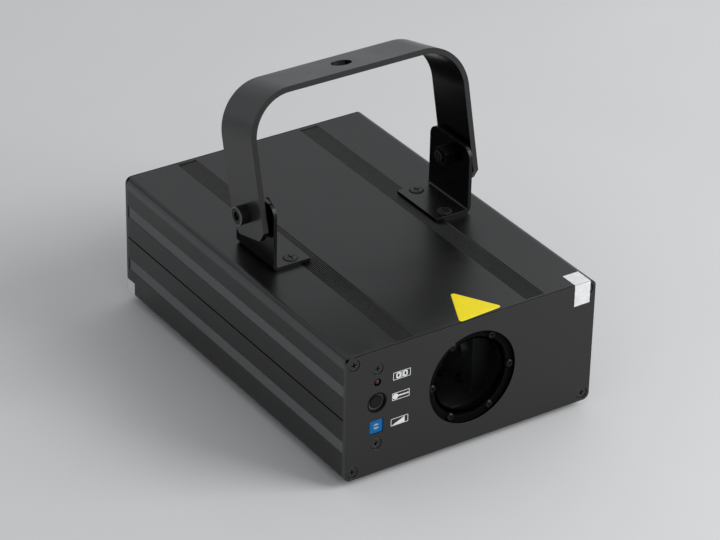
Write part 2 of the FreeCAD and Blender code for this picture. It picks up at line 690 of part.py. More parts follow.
upper_shell = half_shell("upper_shell", "+")
holes = sketch_on(upper_shell, "XY", TOP)
for point, axis in corner_places(BRACKET_X, BRACKET_Y, TOP, "z"):
    side, end = ("-+"[point.x > 0], "-+"[point.y > size(CENTRE_Y)])
    circle(holes, side + BRACKET_X, "%s %s %s" % (CENTRE_Y, end, BRACKET_Y), "m4_hole")
pocket(upper_shell, holes)

lower_shell = half_shell("lower_shell", "-")
holes = sketch_on(lower_shell, "XY", BOTTOM)
for side in "-+":
    for end in "-+":
        circle(holes, side + FOOT_X, "%s %s %s" % (CENTRE_Y, end, FOOT_Y), SCREW_BORE)
pocket(lower_shell, holes)


# Flat end plates with countersunk corner screws

def end_plate(name, outer_face, flip):
    """A plate over the shells' ends, its outer face at a level, with its corner holes."""
    body = new_body(name)
    blank = sketch_on(body, "XZ", outer_face)
    rectangle(blank, "0", MID, "housing_width", "housing_height")
    sheet_metal = pad(body, blank, "plate_thickness", flip=flip)
    corners = [(x * size(HALF), size(z)) for x in (-1, 1) for z in (BOTTOM, TOP)]
    dress(body, "Fillet", sheet_metal, lines_along(sheet_metal, "y", corners), "corner_radius")
    return body


def plate_holes(body, outer_face, extra):
    """Countersunk holes for the corner screws and for extra screws at given places."""
    drill = sketch_on(body, "XZ", outer_face)
    for side in "-+":
        for end in "-+":
            circle(drill, side + PORT_X, "%s %s %s" % (MID, end, PORT_Z), "m3_hole")
    for x, z in extra:
        circle(drill, x, z, "m3_hole")
    through = pocket(body, drill)
    edges = rims(through, "y", size(outer_face), size("m3_hole"))
    dress(body, "Chamfer", through, edges, "(m3_csk_head - m3_hole) / 2 + seat_gap + head_sink")


SOUND_SCREWS = [(CONTROL_X, "(foot_height + %s)" % height)
                for height in ("sound_screw_high", "sound_screw_low")]
LED_Z = "(foot_height + led_height)"
MICROPHONE_Z = "(foot_height + microphone_height)"
TRIMMER_Z = "(foot_height + trimmer_height)"

front_plate = end_plate("front_plate", FRONT, True)
openings = sketch_on(front_plate, "XZ", FRONT)
circle(openings, "aperture_x", APERTURE_Z, "aperture_diameter")
circle(openings, CONTROL_X, LED_Z, "led_hole")
circle(openings, CONTROL_X, MICROPHONE_Z, "microphone_hole")
rectangle(openings, CONTROL_X, TRIMMER_Z, "trimmer_width + 2 * slip_fit", "trimmer_width + 2 * slip_fit")
pocket(front_plate, openings)
plate_holes(front_plate, FRONT, SOUND_SCREWS)

FAN_PITCH = "(fan_screw_spacing / 2)"
SOCKETS = ("signal_in_x", "signal_out_x")
FAN_SCREWS = [("fan_x %s %s" % (a, FAN_PITCH), "%s %s %s" % (MID, b, FAN_PITCH)) for a in "-+" for b in "-+"]
SOCKET_SCREWS = [("%s %s socket_screw_x / 2" % (x, a), "%s %s socket_screw_z / 2" % (UPPER_Z, b))
                 for x in SOCKETS for a, b in ("-+", "+-")]
MODE_SLOT = "(mode_lever + mode_travel + 2 * slip_fit)"
MODE_SLOT_HEIGHT = "(mode_lever_height + 2 * slip_fit)"

rear_plate = end_plate("rear_plate", REAR, False)
openings = sketch_on(rear_plate, "XZ", REAR)
circle(openings, "fan_x", MID, "fan_bore")
rectangle(openings, "inlet_x", LOWER_Z, "inlet_width + 2 * slip_fit", "inlet_height + 2 * slip_fit")
rectangle(openings, "switch_x", LOWER_Z, "switch_width + 2 * slip_fit", "switch_height + 2 * slip_fit")
rectangle(openings, "mode_x", UPPER_Z, MODE_SLOT, MODE_SLOT_HEIGHT)
for x in SOCKETS:
    circle(openings, x, UPPER_Z, "socket_body + 2 * slip_fit")
for x, z in FAN_SCREWS:
    circle(openings, x, z, "fan_screw_diameter + 2 * seat_gap")
for x, z in SOCKET_SCREWS:
    circle(openings, x, z, SCREW_BORE)
pocket(rear_plate, openings)
plate_holes(rear_plate, REAR, [])

plate_screw = countersunk("m3_diameter", "m3_csk_head", "m3_csk_length")
group("plate_screws", plate_screw,
      corner_places(PORT_X, "%s + head_sink" % FRONT, PORT_Z, "-y")
      + corner_places(PORT_X, "%s - head_sink" % REAR, PORT_Z, "y"))


# Window: a ring behind the front plate, glass in its seat, six screws that hold the glass by its rim

window_ring = new_body("window_ring")
half_section = sketch_on(window_ring, "XY")
outline(half_section, [("window_diameter / 2 - ring_lip", "window_thickness"),
                       ("window_diameter / 2 - ring_lip", "ring_thickness"),
                       ("ring_diameter / 2", "ring_thickness"),
                       ("ring_diameter / 2", "0"),
                       ("window_diameter / 2 + seat_gap", "0"),
                       ("window_diameter / 2 + seat_gap", "window_thickness")])
turned = window_ring.newObject("PartDesign::Revolution", "Turned")
turned.Profile = half_section
turned.ReferenceAxis = (origin_feature(window_ring, "Y_Axis"), [""])
doc.recompute()
screw_holes = sketch_on(window_ring, "XZ")
circle(screw_holes, "clip_circle / 2", "0", "clip_shank + 2 * seat_gap")
hole = pocket(window_ring, screw_holes)
around = window_ring.newObject("PartDesign::PolarPattern", "Around")
around.Originals = [hole]
around.Axis = (origin_feature(window_ring, "Y_Axis"), [""])
around.setExpression("Occurrences", bind("clip_count"))
window_ring.Tip = around
place(window_ring, "aperture_x", FRONT_BACK, APERTURE_Z)

keep(rod(("aperture_x", FRONT_BACK, APERTURE_Z), "window_diameter", "window_thickness", "y"), "window_glass")

clip_places = []
for number in range(int(size("clip_count"))):
    angle = 2 * math.pi * number / size("clip_count")
    offset = V(math.cos(angle), 0, math.sin(angle)) * (size("clip_circle") / 2)
    clip_places.append((spot("aperture_x", FRONT_BACK, APERTURE_Z) + offset, "-y"))
group("window_screws", pan_head("clip_shank", "clip_head", "clip_head_height", "ring_thickness"), clip_places)


# Sound board behind the control column: lamp, microphone in its grommet, blue trimmer

def board_hole(x, z):
    """A screw hole through the upright sound board."""
    return rod((x, BOARD_Y, z), "m3_hole", "board_thickness", "y")


board_low = "(foot_height + sound_screw_low - sound_board_margin)"
board_height = "sound_screw_high - sound_screw_low + 2 * sound_board_margin"
blank_board = box(("%s - sound_board_width / 2" % CONTROL_X, BOARD_Y, board_low),
                  ("sound_board_width", "board_thickness", board_height))
keep(cut(blank_board, *[board_hole(x, z) for x, z in SOUND_SCREWS]), "sound_board")
spacer = cut(rod(("0", "0", "0"), "m3_csk_head", "sound_board_gap"),
             rod(("0", "0", "0"), SCREW_BORE, "sound_board_gap"))
group("sound_board_spacers", spacer, [(spot(x, FRONT_BACK, z), "y") for x, z in SOUND_SCREWS])
sound_length = "plate_thickness - head_sink + sound_board_gap + board_thickness + m3_nut_height + bolt_end"
group("sound_board_screws", countersunk("m3_diameter", "m3_csk_head", sound_length),
      [(spot(x, "%s + head_sink" % FRONT, z), "-y") for x, z in SOUND_SCREWS])
board_back = "(%s + board_thickness)" % BOARD_Y
group("sound_board_nuts", nut("m3_nut_width", "m3_nut_height", SCREW_BORE),
      [(spot(x, board_back, z), "y") for x, z in SOUND_SCREWS])

lamp = rod((CONTROL_X, FRONT, LED_Z), "led_diameter", "plate_thickness + sound_board_gap", "y")
collar = rod((CONTROL_X, "%s - 1" % BOARD_Y, LED_Z), "led_diameter + 0.8", "1", "y")
dome = doc.addObject("Part::Sphere", "Dome")
dome.setExpression("Radius", bind("led_diameter / 2"))
place(dome, CONTROL_X, "%s + led_diameter / 2 - 0.2" % FRONT, LED_Z)
dome_lamp = cut(lamp, rod((CONTROL_X, FRONT, LED_Z), "led_diameter + 1", "led_diameter / 2 - 0.2", "y"))
keep(fuse(dome_lamp, dome, collar), "sound_led")

grommet_bore = "microphone_diameter + 2 * seat_gap"
grommet = cut(rod((CONTROL_X, FRONT, MICROPHONE_Z), "microphone_hole - 2 * seat_gap",
                  "plate_thickness + sound_board_gap", "y"),
              rod((CONTROL_X, FRONT, MICROPHONE_Z), grommet_bore, "plate_thickness + sound_board_gap", "y"))
keep(grommet, "microphone_grommet")
capsule = rod((CONTROL_X, "%s + 1.2" % FRONT, MICROPHONE_Z), "microphone_diameter",
              "plate_thickness + sound_board_gap - 1.2", "y")
felt = rod((CONTROL_X, "%s + 0.9" % FRONT, MICROPHONE_Z), "microphone_felt", "1", "y")
keep(fuse(capsule, felt), "microphone_capsule")

trimmer_face = "(%s + 0.4)" % FRONT
trimmer_block = centred_box((CONTROL_X, "(%s + %s) / 2" % (trimmer_face, BOARD_Y), TRIMMER_Z),
                            ("trimmer_width", "%s - %s" % (BOARD_Y, trimmer_face), "trimmer_width"))
trimmer_well = rod((CONTROL_X, trimmer_face, TRIMMER_Z), "trimmer_screw_diameter + 2 * pivot_fit", "2", "y")
keep(cut(trimmer_block, trimmer_well), "trimmer_body")
rotor = rod((CONTROL_X, trimmer_face, TRIMMER_Z), "trimmer_screw_diameter", "1.9", "y")
slot = centred_box((CONTROL_X, trimmer_face, TRIMMER_Z), ("trimmer_screw_diameter - 0.6", "1.4", "0.7"))
keep(cut(rotor, slot), "trimmer_screw")


# Angle brackets: bent sheet, foot screwed through the upper shell, upright leg with the pivot hole

def bracket(name, side):
    """One bracket; side is the sign of its X."""
    body = new_body(name)
    face = "(%sbracket_span / 2)" % side
    inward = "-" if side == "+" else "+"
    free = "(%s %s bracket_base)" % (face, inward)
    inner = "(%s %s bracket_thickness)" % (face, inward)
    sheet_top = "(%s + bracket_thickness)" % TOP
    leg_top = "(%s + bracket_rise)" % TOP
    section = sketch_on(body, "XZ", CENTRE_Y)
    outline(section, [(free, TOP), (face, TOP), (face, leg_top),
                      (inner, leg_top), (inner, sheet_top), (free, sheet_top)])
    bent = pad(body, section, "bracket_length", both=True)
    bent = dress(body, "Fillet", bent, lines_along(bent, "y", [(size(face), size(TOP))]),
                 "bracket_bend + bracket_thickness")
    bent = dress(body, "Fillet", bent, lines_along(bent, "y", [(size(inner), size(sheet_top))]),
                 "bracket_bend")
    ends = [size("%s %s bracket_length / 2" % (CENTRE_Y, sign)) for sign in "-+"]
    upper = lines_along(bent, "x", [(y, size(leg_top)) for y in ends])
    dress(body, "Fillet", bent, upper, "bracket_round")
    pivot = sketch_on(body, "YZ")
    circle(pivot, CENTRE_Y, PIVOT_Z, "m6_diameter + 2 * pivot_fit")
    pocket(body, pivot)
    drill = sketch_on(body, "XY", TOP)
    for sign in "-+":
        circle(drill, side + BRACKET_X, "%s %s %s" % (CENTRE_Y, sign, BRACKET_Y), "m4_hole")
    through = pocket(body, drill)
    edges = rims(through, "z", size(sheet_top), size("m4_hole"))
    dress(body, "Chamfer", through, edges, "(m4_csk_head - m4_hole) / 2 + seat_gap")


bracket("left_bracket", "-")
bracket("right_bracket", "+")
group("bracket_screws", raised("m4_diameter", "m4_csk_head", "m4_csk_crown", "m4_csk_length"),
      corner_places(BRACKET_X, BRACKET_Y, "%s + bracket_thickness" % TOP, "z"))
group("bracket_nuts", nut("m4_nut_width", "m4_nut_height", "m4_diameter + 2 * seat_gap"),
      corner_places(BRACKET_X, BRACKET_Y, "%s - wall" % TOP, "-z"))


# Yoke: flat bar bent to a U about its pivot, then leaned back as it stands at rest

yoke = new_body("yoke")
arm = "(yoke_span / 2)"
arm_inner = "(yoke_span / 2 - yoke_thickness)"
strap_inner = "(yoke_rise - yoke_thickness)"
section = sketch_on(yoke, "XZ")
outline(section, [("-" + arm, "-yoke_tail"), ("-" + arm, "yoke_rise"),
                  (arm, "yoke_rise"), (arm, "-yoke_tail"),
                  (arm_inner, "-yoke_tail"), (arm_inner, strap_inner),
                  ("-" + arm_inner, strap_inner), ("-" + arm_inner, "-yoke_tail")])
bar = pad(yoke, section, "yoke_width", both=True)
bends = [(sign * size(arm), size("yoke_rise")) for sign in (-1, 1)]
bar = dress(yoke, "Fillet", bar, lines_along(bar, "y", bends), "yoke_bend")
bends = [(sign * size(arm_inner), size(strap_inner)) for sign in (-1, 1)]
bar = dress(yoke, "Fillet", bar, lines_along(bar, "y", bends), "yoke_bend - yoke_thickness")
ends = [(sign * size("yoke_width / 2"), -size("yoke_tail")) for sign in (-1, 1)]
dress(yoke, "Chamfer", bar, lines_along(bar, "x", ends), "yoke_cut")
pivots = sketch_on(yoke, "YZ")
circle(pivots, "0", "0", "m6_diameter + 2 * pivot_fit")
pocket(yoke, pivots)
hanger = sketch_on(yoke, "XY", "yoke_rise")
circle(hanger, "0", "0", "hanging_hole")
pocket(yoke, hanger, "2 * yoke_thickness")
lean = FreeCAD.Rotation(AXES["x"], -size("yoke_lean"))
yoke.Placement = FreeCAD.Placement(spot("0", CENTRE_Y, PIVOT_Z), lean)
yoke.setExpression("Placement.Base.y", bind(CENTRE_Y))
yoke.setExpression("Placement.Base.z", bind(PIVOT_Z))

# Pivot bolts through arm, friction washer and leg, with lock nuts inside the legs
head_seat = "(yoke_span / 2 + slip_fit)"
nut_seat = "(bracket_span / 2 - bracket_thickness)"
shank_length = "%s - %s + m6_nut_height + bolt_end" % (head_seat, nut_seat)
bolt = cut(fuse(rod(("0", "0", "0"), "m6_head", "m6_head_height"),
                rod(("0", "0", "-(%s)" % shank_length), "m6_diameter", shank_length)),
           hexagon(("0", "0", "m6_head_height - m6_socket_depth"), "m6_socket_width", "m6_socket_depth"))
group("pivot_bolts", bolt, both_sides(head_seat, CENTRE_Y, PIVOT_Z, "x"))
washer_gap = "yoke_span / 2 - yoke_thickness - slip_fit - bracket_span / 2"
washer = cut(rod(("0", "0", "0"), "washer_diameter", washer_gap),
             rod(("0", "0", "0"), "m6_diameter + 2 * pivot_fit", washer_gap))
group("pivot_washers", washer, both_sides("bracket_span / 2", CENTRE_Y, PIVOT_Z, "x"))
lock_nut = nut("m6_nut_width", "m6_nut_height", "m6_diameter + 2 * seat_gap")
group("pivot_nuts", lock_nut, [(point, flipped) for (point, axis), flipped in
                               zip(both_sides(nut_seat, CENTRE_Y, PIVOT_Z, "x"), ("-x", "x"))])


# Rubber feet, each held by a pan head screw sunk in its hollow

foot = cut(cone(("0", "0", "0"), "foot_tip", "foot_diameter", "foot_height"),
           rod(("0", "0", "0"), "m3_pan_head + 1", "foot_recess"),
           rod(("0", "0", "0"), SCREW_BORE, "foot_height"))
group("rubber_feet", foot, corner_places(FOOT_X, FOOT_Y, "0", "z"))
group("foot_screws", pan_head("m3_diameter", "m3_pan_head", "m3_pan_height", "m3_pan_length"),
      corner_places(FOOT_X, FOOT_Y, "foot_recess", "-z"))


# Fan on the rear plate: frame with hub bars, seven-blade rotor on a post, wire guard outside

fan_frame = new_body("fan_frame")
square = sketch_on(fan_frame, "XZ")
rectangle(square, "0", "0", "fan_size", "fan_size")
frame_block = pad(fan_frame, square, "fan_depth", flip=True)
corners = [(a * size("fan_size / 2"), b * size("fan_size / 2")) for a in (-1, 1) for b in (-1, 1)]
dress(fan_frame, "Fillet", frame_block, lines_along(frame_block, "y", corners), "corner_radius")
bores = sketch_on(fan_frame, "XZ")
circle(bores, "0", "0", "fan_bore")
for a in "-+":
    for b in "-+":
        circle(bores, a + FAN_PITCH, b + FAN_PITCH, "fan_screw_diameter + 2 * seat_gap")
pocket(fan_frame, bores)
for width, height in (("fan_bore + 1", "2 * fan_bars"), ("2 * fan_bars", "fan_bore + 1")):
    bars = sketch_on(fan_frame, "XZ")
    rectangle(bars, "0", "0", width, height)
    pad(fan_frame, bars, "fan_bars", flip=True)
for diameter, length in (("fan_hub", "fan_bars"), ("fan_post", "fan_depth - fan_bars - 2")):
    seat = sketch_on(fan_frame, "XZ")
    circle(seat, "0", "0", diameter)
    pad(fan_frame, seat, length, flip=True)
FAN_Y = "(%s - fan_depth)" % REAR_INSIDE
place(fan_frame, "fan_x", FAN_Y, MID)

fan_rotor = new_body("fan_rotor")
hub = sketch_on(fan_rotor, "XZ", "fan_bars + 0.4")
circle(hub, "0", "0", "fan_hub")
pad(fan_rotor, hub, "fan_depth - fan_bars - 1", flip=True)
journal = sketch_on(fan_rotor, "XZ", "fan_bars + 0.4")
circle(journal, "0", "0", "fan_post + 2 * pivot_fit")
pocket(fan_rotor, journal, "fan_depth - fan_bars - 2")
blade_root = "(fan_hub / 2 - 1)"
blade_low = "(fan_bars + 1.2)"
blade_high = "(fan_depth - 1.2)"
blade_section = sketch_on(fan_rotor, "YZ", blade_root)
outline(blade_section, [(blade_low, "-blade_half_chord"),
                        ("%s + blade_thickness" % blade_low, "-blade_half_chord"),
                        ("fan_depth / 2 + 1", "blade_thickness"), (blade_high, "blade_half_chord"),
                        ("%s - blade_thickness" % blade_high, "blade_half_chord"),
                        ("fan_depth / 2 - 0.6", "blade_thickness")])
blade = pad(fan_rotor, blade_section, "blade_reach - %s" % blade_root)
blades = fan_rotor.newObject("PartDesign::PolarPattern", "Blades")
blades.Originals = [blade]
blades.Axis = (origin_feature(fan_rotor, "Y_Axis"), [""])
blades.setExpression("Occurrences", bind("blade_count"))
fan_rotor.Tip = blades
place(fan_rotor, "fan_x", FAN_Y, MID)

ring_count = int(size("guard_ring_count"))
wires = []
for number in range(1, ring_count + 1):
    radius = "guard_ring * %d / guard_ring_count" % number
    wires.append(torus(("fan_x", "%s + guard_wire * 1.2" % REAR, MID), radius, "guard_wire"))
for x, z in FAN_SCREWS:
    eye = "(fan_screw_diameter + guard_wire) / 2 + seat_gap"
    wires.append(torus((x, "%s + guard_wire / 2" % REAR, z), eye, "guard_wire"))
spoke_start = "guard_ring / guard_ring_count"
spoke_length = "fan_screw_spacing / sqrt(2) - fan_screw_diameter / 2 - guard_wire / 2 - %s" % spoke_start
for angle in (45, 135, 225, 315):
    spoke = doc.addObject("Part::Cylinder", "Spoke")
    spoke.setExpression("Radius", bind("guard_wire / 2"))
    spoke.setExpression("Height", bind(spoke_length))
    outward = V(math.cos(math.radians(angle)), 0, math.sin(math.radians(angle)))
    start = spot("fan_x", "%s + guard_wire / 2" % REAR, MID) + outward * size(spoke_start)
    spoke.Placement = FreeCAD.Placement(start, FreeCAD.Rotation(AXES["z"], outward))
    wires.append(spoke)
keep(fuse(*wires), "fan_guard")
fan_screw = pan_head("fan_screw_diameter", "fan_screw_head", "fan_screw_head_height", "fan_screw_length")
group("fan_screws", fan_screw, [(spot(x, "%s + guard_wire" % REAR, z), "y") for x, z in FAN_SCREWS])


# Mains inlet: snap-in body with a six-sided plug hollow and three flat pins

inlet = new_body("mains_inlet")
rim = sketch_on(inlet, "XZ", REAR)
rectangle(rim, "inlet_x", LOWER_Z, "inlet_width + 2 * inlet_flange", "inlet_height + 2 * inlet_flange")
rim_pad = pad(inlet, rim, "inlet_flange_thickness", flip=True)
rim_corners = [(size("inlet_x %s (inlet_width / 2 + inlet_flange)" % a),
                size("%s %s (inlet_height / 2 + inlet_flange)" % (LOWER_Z, b))) for a in "-+" for b in "-+"]
dress(inlet, "Fillet", rim_pad, lines_along(rim_pad, "y", rim_corners), "inlet_flange")
trunk = sketch_on(inlet, "XZ", REAR)
rectangle(trunk, "inlet_x", LOWER_Z, "inlet_width", "inlet_height")
pad(inlet, trunk, "inlet_depth")
hollow = sketch_on(inlet, "XZ", "%s + inlet_flange_thickness" % REAR)
left, right = ("(inlet_x %s inlet_cavity_width / 2)" % sign for sign in "-+")
low, high = ("(%s %s inlet_cavity_height / 2)" % (LOWER_Z, sign) for sign in "-+")
outline(hollow, [(left, low), (right, low), (right, "%s - inlet_cavity_cut" % high),
                 ("%s - inlet_cavity_cut" % right, high), ("%s + inlet_cavity_cut" % left, high),
                 (left, "%s - inlet_cavity_cut" % high)])
pocket(inlet, hollow, "inlet_cavity_depth + inlet_flange_thickness", flip=True)
pin_length = "inlet_cavity_depth - inlet_pin_recess + inlet_flange_thickness"
pin_spots = [("inlet_x - inlet_pin_spacing / 2", "%s - inlet_pin_offset / 2" % LOWER_Z),
             ("inlet_x", "%s + inlet_pin_offset / 2" % LOWER_Z),
             ("inlet_x + inlet_pin_spacing / 2", "%s - inlet_pin_offset / 2" % LOWER_Z)]
flat_pin = box(("-inlet_pin_width / 2", "-inlet_pin_height / 2", "0"),
               ("inlet_pin_width", "inlet_pin_height", pin_length))
group("mains_pins", flat_pin, [(spot(x, "%s - inlet_cavity_depth" % REAR, z), "y") for x, z in pin_spots])


# Power switch: snap-in body and rocker on two pins, rocked to one side at rest

PIVOT_Y = "(%s - rocker_sink)" % REAR
well = ("switch_width - 2 * switch_wall", "switch_depth", "switch_height - 2 * switch_wall")
body_block = box(("switch_x - switch_width / 2", "%s - switch_depth" % REAR,
                  "%s - switch_height / 2" % LOWER_Z),
                 ("switch_width", "switch_depth", "switch_height"))
rim_block = centred_box(("switch_x", "%s + switch_flange / 2" % REAR, LOWER_Z),
                        ("switch_width + 2 * switch_rim", "switch_flange", "switch_height + 2 * switch_rim"))
well_block = box(("switch_x - switch_width / 2 + switch_wall", "%s - switch_depth + switch_wall" % REAR,
                  "%s - switch_height / 2 + switch_wall" % LOWER_Z), well)
pin_hole = rod(("switch_x - switch_width / 2 + 0.4", PIVOT_Y, LOWER_Z), "rocker_pin + 2 * pivot_fit",
               "switch_width - 0.8", "x")
keep(cut(fuse(body_block, rim_block), well_block, pin_hole), "switch_frame")

rocker = new_body("switch_rocker")
rocker_half = "(switch_height / 2 - switch_wall - 2 * rocker_gap)"
rocker_edge = "(rocker_crown - %s * tan(rocker_lean))" % rocker_half
profile = sketch_on(rocker, "YZ")
outline(profile, [("rocker_crown", "0"), (rocker_edge, rocker_half), ("-1", rocker_half), ("-4", "2"),
                  ("-4", "-2"), ("-1", "-" + rocker_half), (rocker_edge, "-" + rocker_half)])
pad(rocker, profile, "switch_width - 2 * switch_wall - 2 * rocker_gap", both=True)
pins = sketch_on(rocker, "YZ")
circle(pins, "0", "0", "rocker_pin")
pad(rocker, pins, "switch_width - 1", both=True)
tilt = FreeCAD.Rotation(AXES["x"], size("rocker_lean"))
rocker.Placement = FreeCAD.Placement(spot("switch_x", PIVOT_Y, LOWER_Z), tilt)
for letter, text in zip("xyz", ("switch_x", PIVOT_Y, LOWER_Z)):
    rocker.setExpression("Placement.Base." + letter, bind(text))


# Signal sockets: square flange and barrel; the input has pins, the output a contact block and a release tab

def signal_socket(name, x):
    """Flange and barrel with the flange's screw holes."""
    body = new_body(name)
    flange = sketch_on(body, "XZ", REAR)
    rectangle(flange, x, UPPER_Z, "socket_width", "socket_height")
    flange_pad = pad(body, flange, "socket_flange", flip=True)
    corners = [(size("%s %s socket_width / 2" % (x, a)), size("%s %s socket_height / 2" % (UPPER_Z, b)))
               for a in "-+" for b in "-+"]
    dress(body, "Fillet", flange_pad, lines_along(flange_pad, "y", corners), "corner_radius")
    barrel = sketch_on(body, "XZ", REAR)
    circle(barrel, x, UPPER_Z, "socket_body")
    pad(body, barrel, "socket_depth")
    drill = sketch_on(body, "XZ", REAR)
    for screw_x, screw_z in SOCKET_SCREWS[2 * SOCKETS.index(x):][:2]:
        circle(drill, screw_x, screw_z, SCREW_BORE)
    through = pocket(body, drill)
    face = "%s + socket_flange" % REAR
    edges = rims(through, "y", size(face), size(SCREW_BORE))
    dress(body, "Chamfer", through, edges, "(m3_csk_head - m3_diameter) / 2")
    return body, sketch_on(body, "XZ", face)


def contacts(x):
    """Places of the three contacts about a socket's middle."""
    for angle in (90, 210, 330):
        yield ("%s + contact_circle / 2 * cos(%d)" % (x, angle),
               "%s + contact_circle / 2 * sin(%d)" % (UPPER_Z, angle))


signal_in, mouth = signal_socket("signal_in_socket", "signal_in_x")
circle(mouth, "signal_in_x", UPPER_Z, "socket_bore")
pocket(signal_in, mouth, "socket_bore_depth + socket_flange", flip=True)
contact = rod(("0", "0", "0"), "contact_pin", "contact_length")
group("signal_in_pins", contact,
      [(spot(x, "%s - socket_bore_depth" % REAR, z), "y") for x, z in contacts("signal_in_x")])

LATCH_Z = "(%s + socket_bore / 2 + latch_rise)" % UPPER_Z
signal_out, mouth = signal_socket("signal_out_socket", "signal_out_x")
circle(mouth, "signal_out_x", UPPER_Z, "socket_bore")
circle(mouth, "signal_out_x", UPPER_Z, "socket_core")
pocket(signal_out, mouth, "socket_core_depth", flip=True)
sleeves = sketch_on(signal_out, "XZ", "%s + socket_flange" % REAR)
for x, z in contacts("signal_out_x"):
    circle(sleeves, x, z, "contact_pin + 2 * slip_fit")
pocket(signal_out, sleeves, "contact_length", flip=True)
latch_slot = sketch_on(signal_out, "XZ", "%s + socket_flange" % REAR)
rectangle(latch_slot, "signal_out_x", LATCH_Z, "latch_width + 2 * slip_fit", "latch_height + 2 * slip_fit")
pocket(signal_out, latch_slot, "socket_flange + latch_depth + latch_travel + slip_fit", flip=True)
keep(box(("signal_out_x - latch_width / 2", "%s - latch_depth" % REAR, "%s - latch_height / 2" % LATCH_Z),
         ("latch_width", "latch_depth + latch_reach", "latch_height")), "signal_out_latch")
group("socket_screws", countersunk("m3_diameter", "m3_csk_head", "m3_csk_length"),
      [(spot(x, "%s + socket_flange" % REAR, z), "y") for x, z in SOCKET_SCREWS])


# Slide switch behind a slot in the rear plate, its lever at mid travel

MODE_BACK = "(%s - mode_body_depth)" % REAR_INSIDE
mode_block = box(("mode_x - mode_body_width / 2", MODE_BACK, "%s - mode_body_height / 2" % UPPER_Z),
                 ("mode_body_width", "mode_body_depth", "mode_body_height"))
mode_channel = box(("mode_x - %s / 2" % MODE_SLOT, "%s + mode_floor" % MODE_BACK,
                    "%s - %s / 2" % (UPPER_Z, MODE_SLOT_HEIGHT)),
                   (MODE_SLOT, "mode_body_depth", MODE_SLOT_HEIGHT))
keep(cut(mode_block, mode_channel), "mode_switch_frame")
lever_length = "mode_body_depth - mode_floor - slip_fit + plate_thickness + mode_lever_reach"
keep(box(("mode_x - mode_lever / 2", "%s + mode_floor + slip_fit" % MODE_BACK,
          "%s - mode_lever_height / 2" % UPPER_Z), ("mode_lever", lever_length, "mode_lever_height")),
     "mode_switch_lever")


# Optics base on pillars, with laser block, scanner block, motors, shafts and mirrors

BASE_Y = "(%s + base_front)" % FRONT
base_pillars = [("%s(base_width / 2 - pillar_inset)" % a, "%s + %s" % (BASE_Y, b))
                for a in "-+" for b in ("pillar_inset", "base_depth - pillar_inset")]
CIRCUIT_Y = "(%s - circuit_rear - circuit_depth)" % REAR
CIRCUITS = ["(-circuit_gap / 2 - circuit_width)", "(circuit_gap / 2)"]
circuit_pillars = [[("%s + %s" % (x, a), "%s + %s" % (CIRCUIT_Y, b))
                    for a in ("pillar_inset", "circuit_width - pillar_inset")
                    for b in ("pillar_inset", "circuit_depth - pillar_inset")] for x in CIRCUITS]


def carried_plate(blank, thickness, pillars):
    """A flat plate on pillars, with a hole over each."""
    return cut(blank, *[rod((x, y, DECK), "m3_hole", thickness) for x, y in pillars])


laser_end = "(aperture_x - laser_clearance)"
clamp = "(motor_diameter / 2 + block_margin)"
block_y = "(%s + motor_distance + (motor_length - block_thickness) / 2)" % SCAN_Y
block_x = "(aperture_x + motor_distance + (motor_length - block_thickness) / 2)"
laser_screws = [("%s - laser_length * %s" % (laser_end, share), SCAN_Y) for share in ("0.25", "0.75")]
block_screws = [("aperture_x + motor_diameter / 2", "%s + block_thickness / 2" % block_y),
                ("%s + block_thickness / 2" % block_x, "%s - motor_diameter / 2" % SCAN_Y)]


def tapped(x, y):
    """A hole for a base screw, up into the block that stands on the base."""
    return rod((x, y, DECK), SCREW_BORE, "base_screw_length + seat_gap")


blank_base = box(("-base_width / 2", BASE_Y, DECK), ("base_width", "base_depth", "base_thickness"))
optics_base = carried_plate(blank_base, "base_thickness", base_pillars)
sunk = [cone((x, y, DECK), "m3_csk_head + 2 * seat_gap", SCREW_BORE, "(m3_csk_head - m3_diameter) / 2")
        for x, y in laser_screws + block_screws]
keep(cut(optics_base, *sunk, *[tapped(x, y) for x, y in laser_screws + block_screws]), "optics_base")
group("base_screws", countersunk("m3_diameter", "m3_csk_head", "base_screw_length"),
      [(spot(x, y, DECK), "-z") for x, y in laser_screws + block_screws])
pillar = cut(hexagon(("0", "0", "0"), "standoff_width", "standoff_height"),
             rod(("0", "0", "standoff_height - standoff_bore_depth"), SCREW_BORE, "standoff_bore_depth"))
group("standoffs", pillar, [(spot(x, y, FLOOR), "z") for x, y in base_pillars + sum(circuit_pillars, [])])
group("inner_screws", pan_head("m3_diameter", "m3_pan_head", "m3_pan_height", "m3_pan_length"),
      [(spot(x, y, DECK_TOP), "z") for x, y in base_pillars]
      + [(spot(x, y, CIRCUIT_TOP), "z") for x, y in sum(circuit_pillars, [])])

laser_height = "2 * (%s - %s)" % (FIRST_Z, DECK_TOP)
laser_block = box(("%s - laser_length" % laser_end, "%s - laser_width / 2" % SCAN_Y, DECK_TOP),
                  ("laser_length", "laser_width", laser_height))
fin_pitch = "laser_length / fin_count"
fins = [box(("%s - laser_length + %s * %d + (%s - fin_slot) / 2" % (laser_end, fin_pitch, number, fin_pitch),
             "%s - laser_width / 2" % SCAN_Y, "%s + %s - fin_depth" % (DECK_TOP, laser_height)),
            ("fin_slot", "laser_width", "fin_depth")) for number in range(int(size("fin_count")))]
keep(cut(laser_block, *fins, *[tapped(x, y) for x, y in laser_screws]), "laser_module")
barrel = rod((laser_end, SCAN_Y, FIRST_Z), "nose_diameter", "nose_length", "x")
lens_well = rod(("%s + nose_length - 2" % laser_end, SCAN_Y, FIRST_Z), "nose_diameter / 2", "2", "x")
keep(cut(barrel, lens_well), "laser_nose")


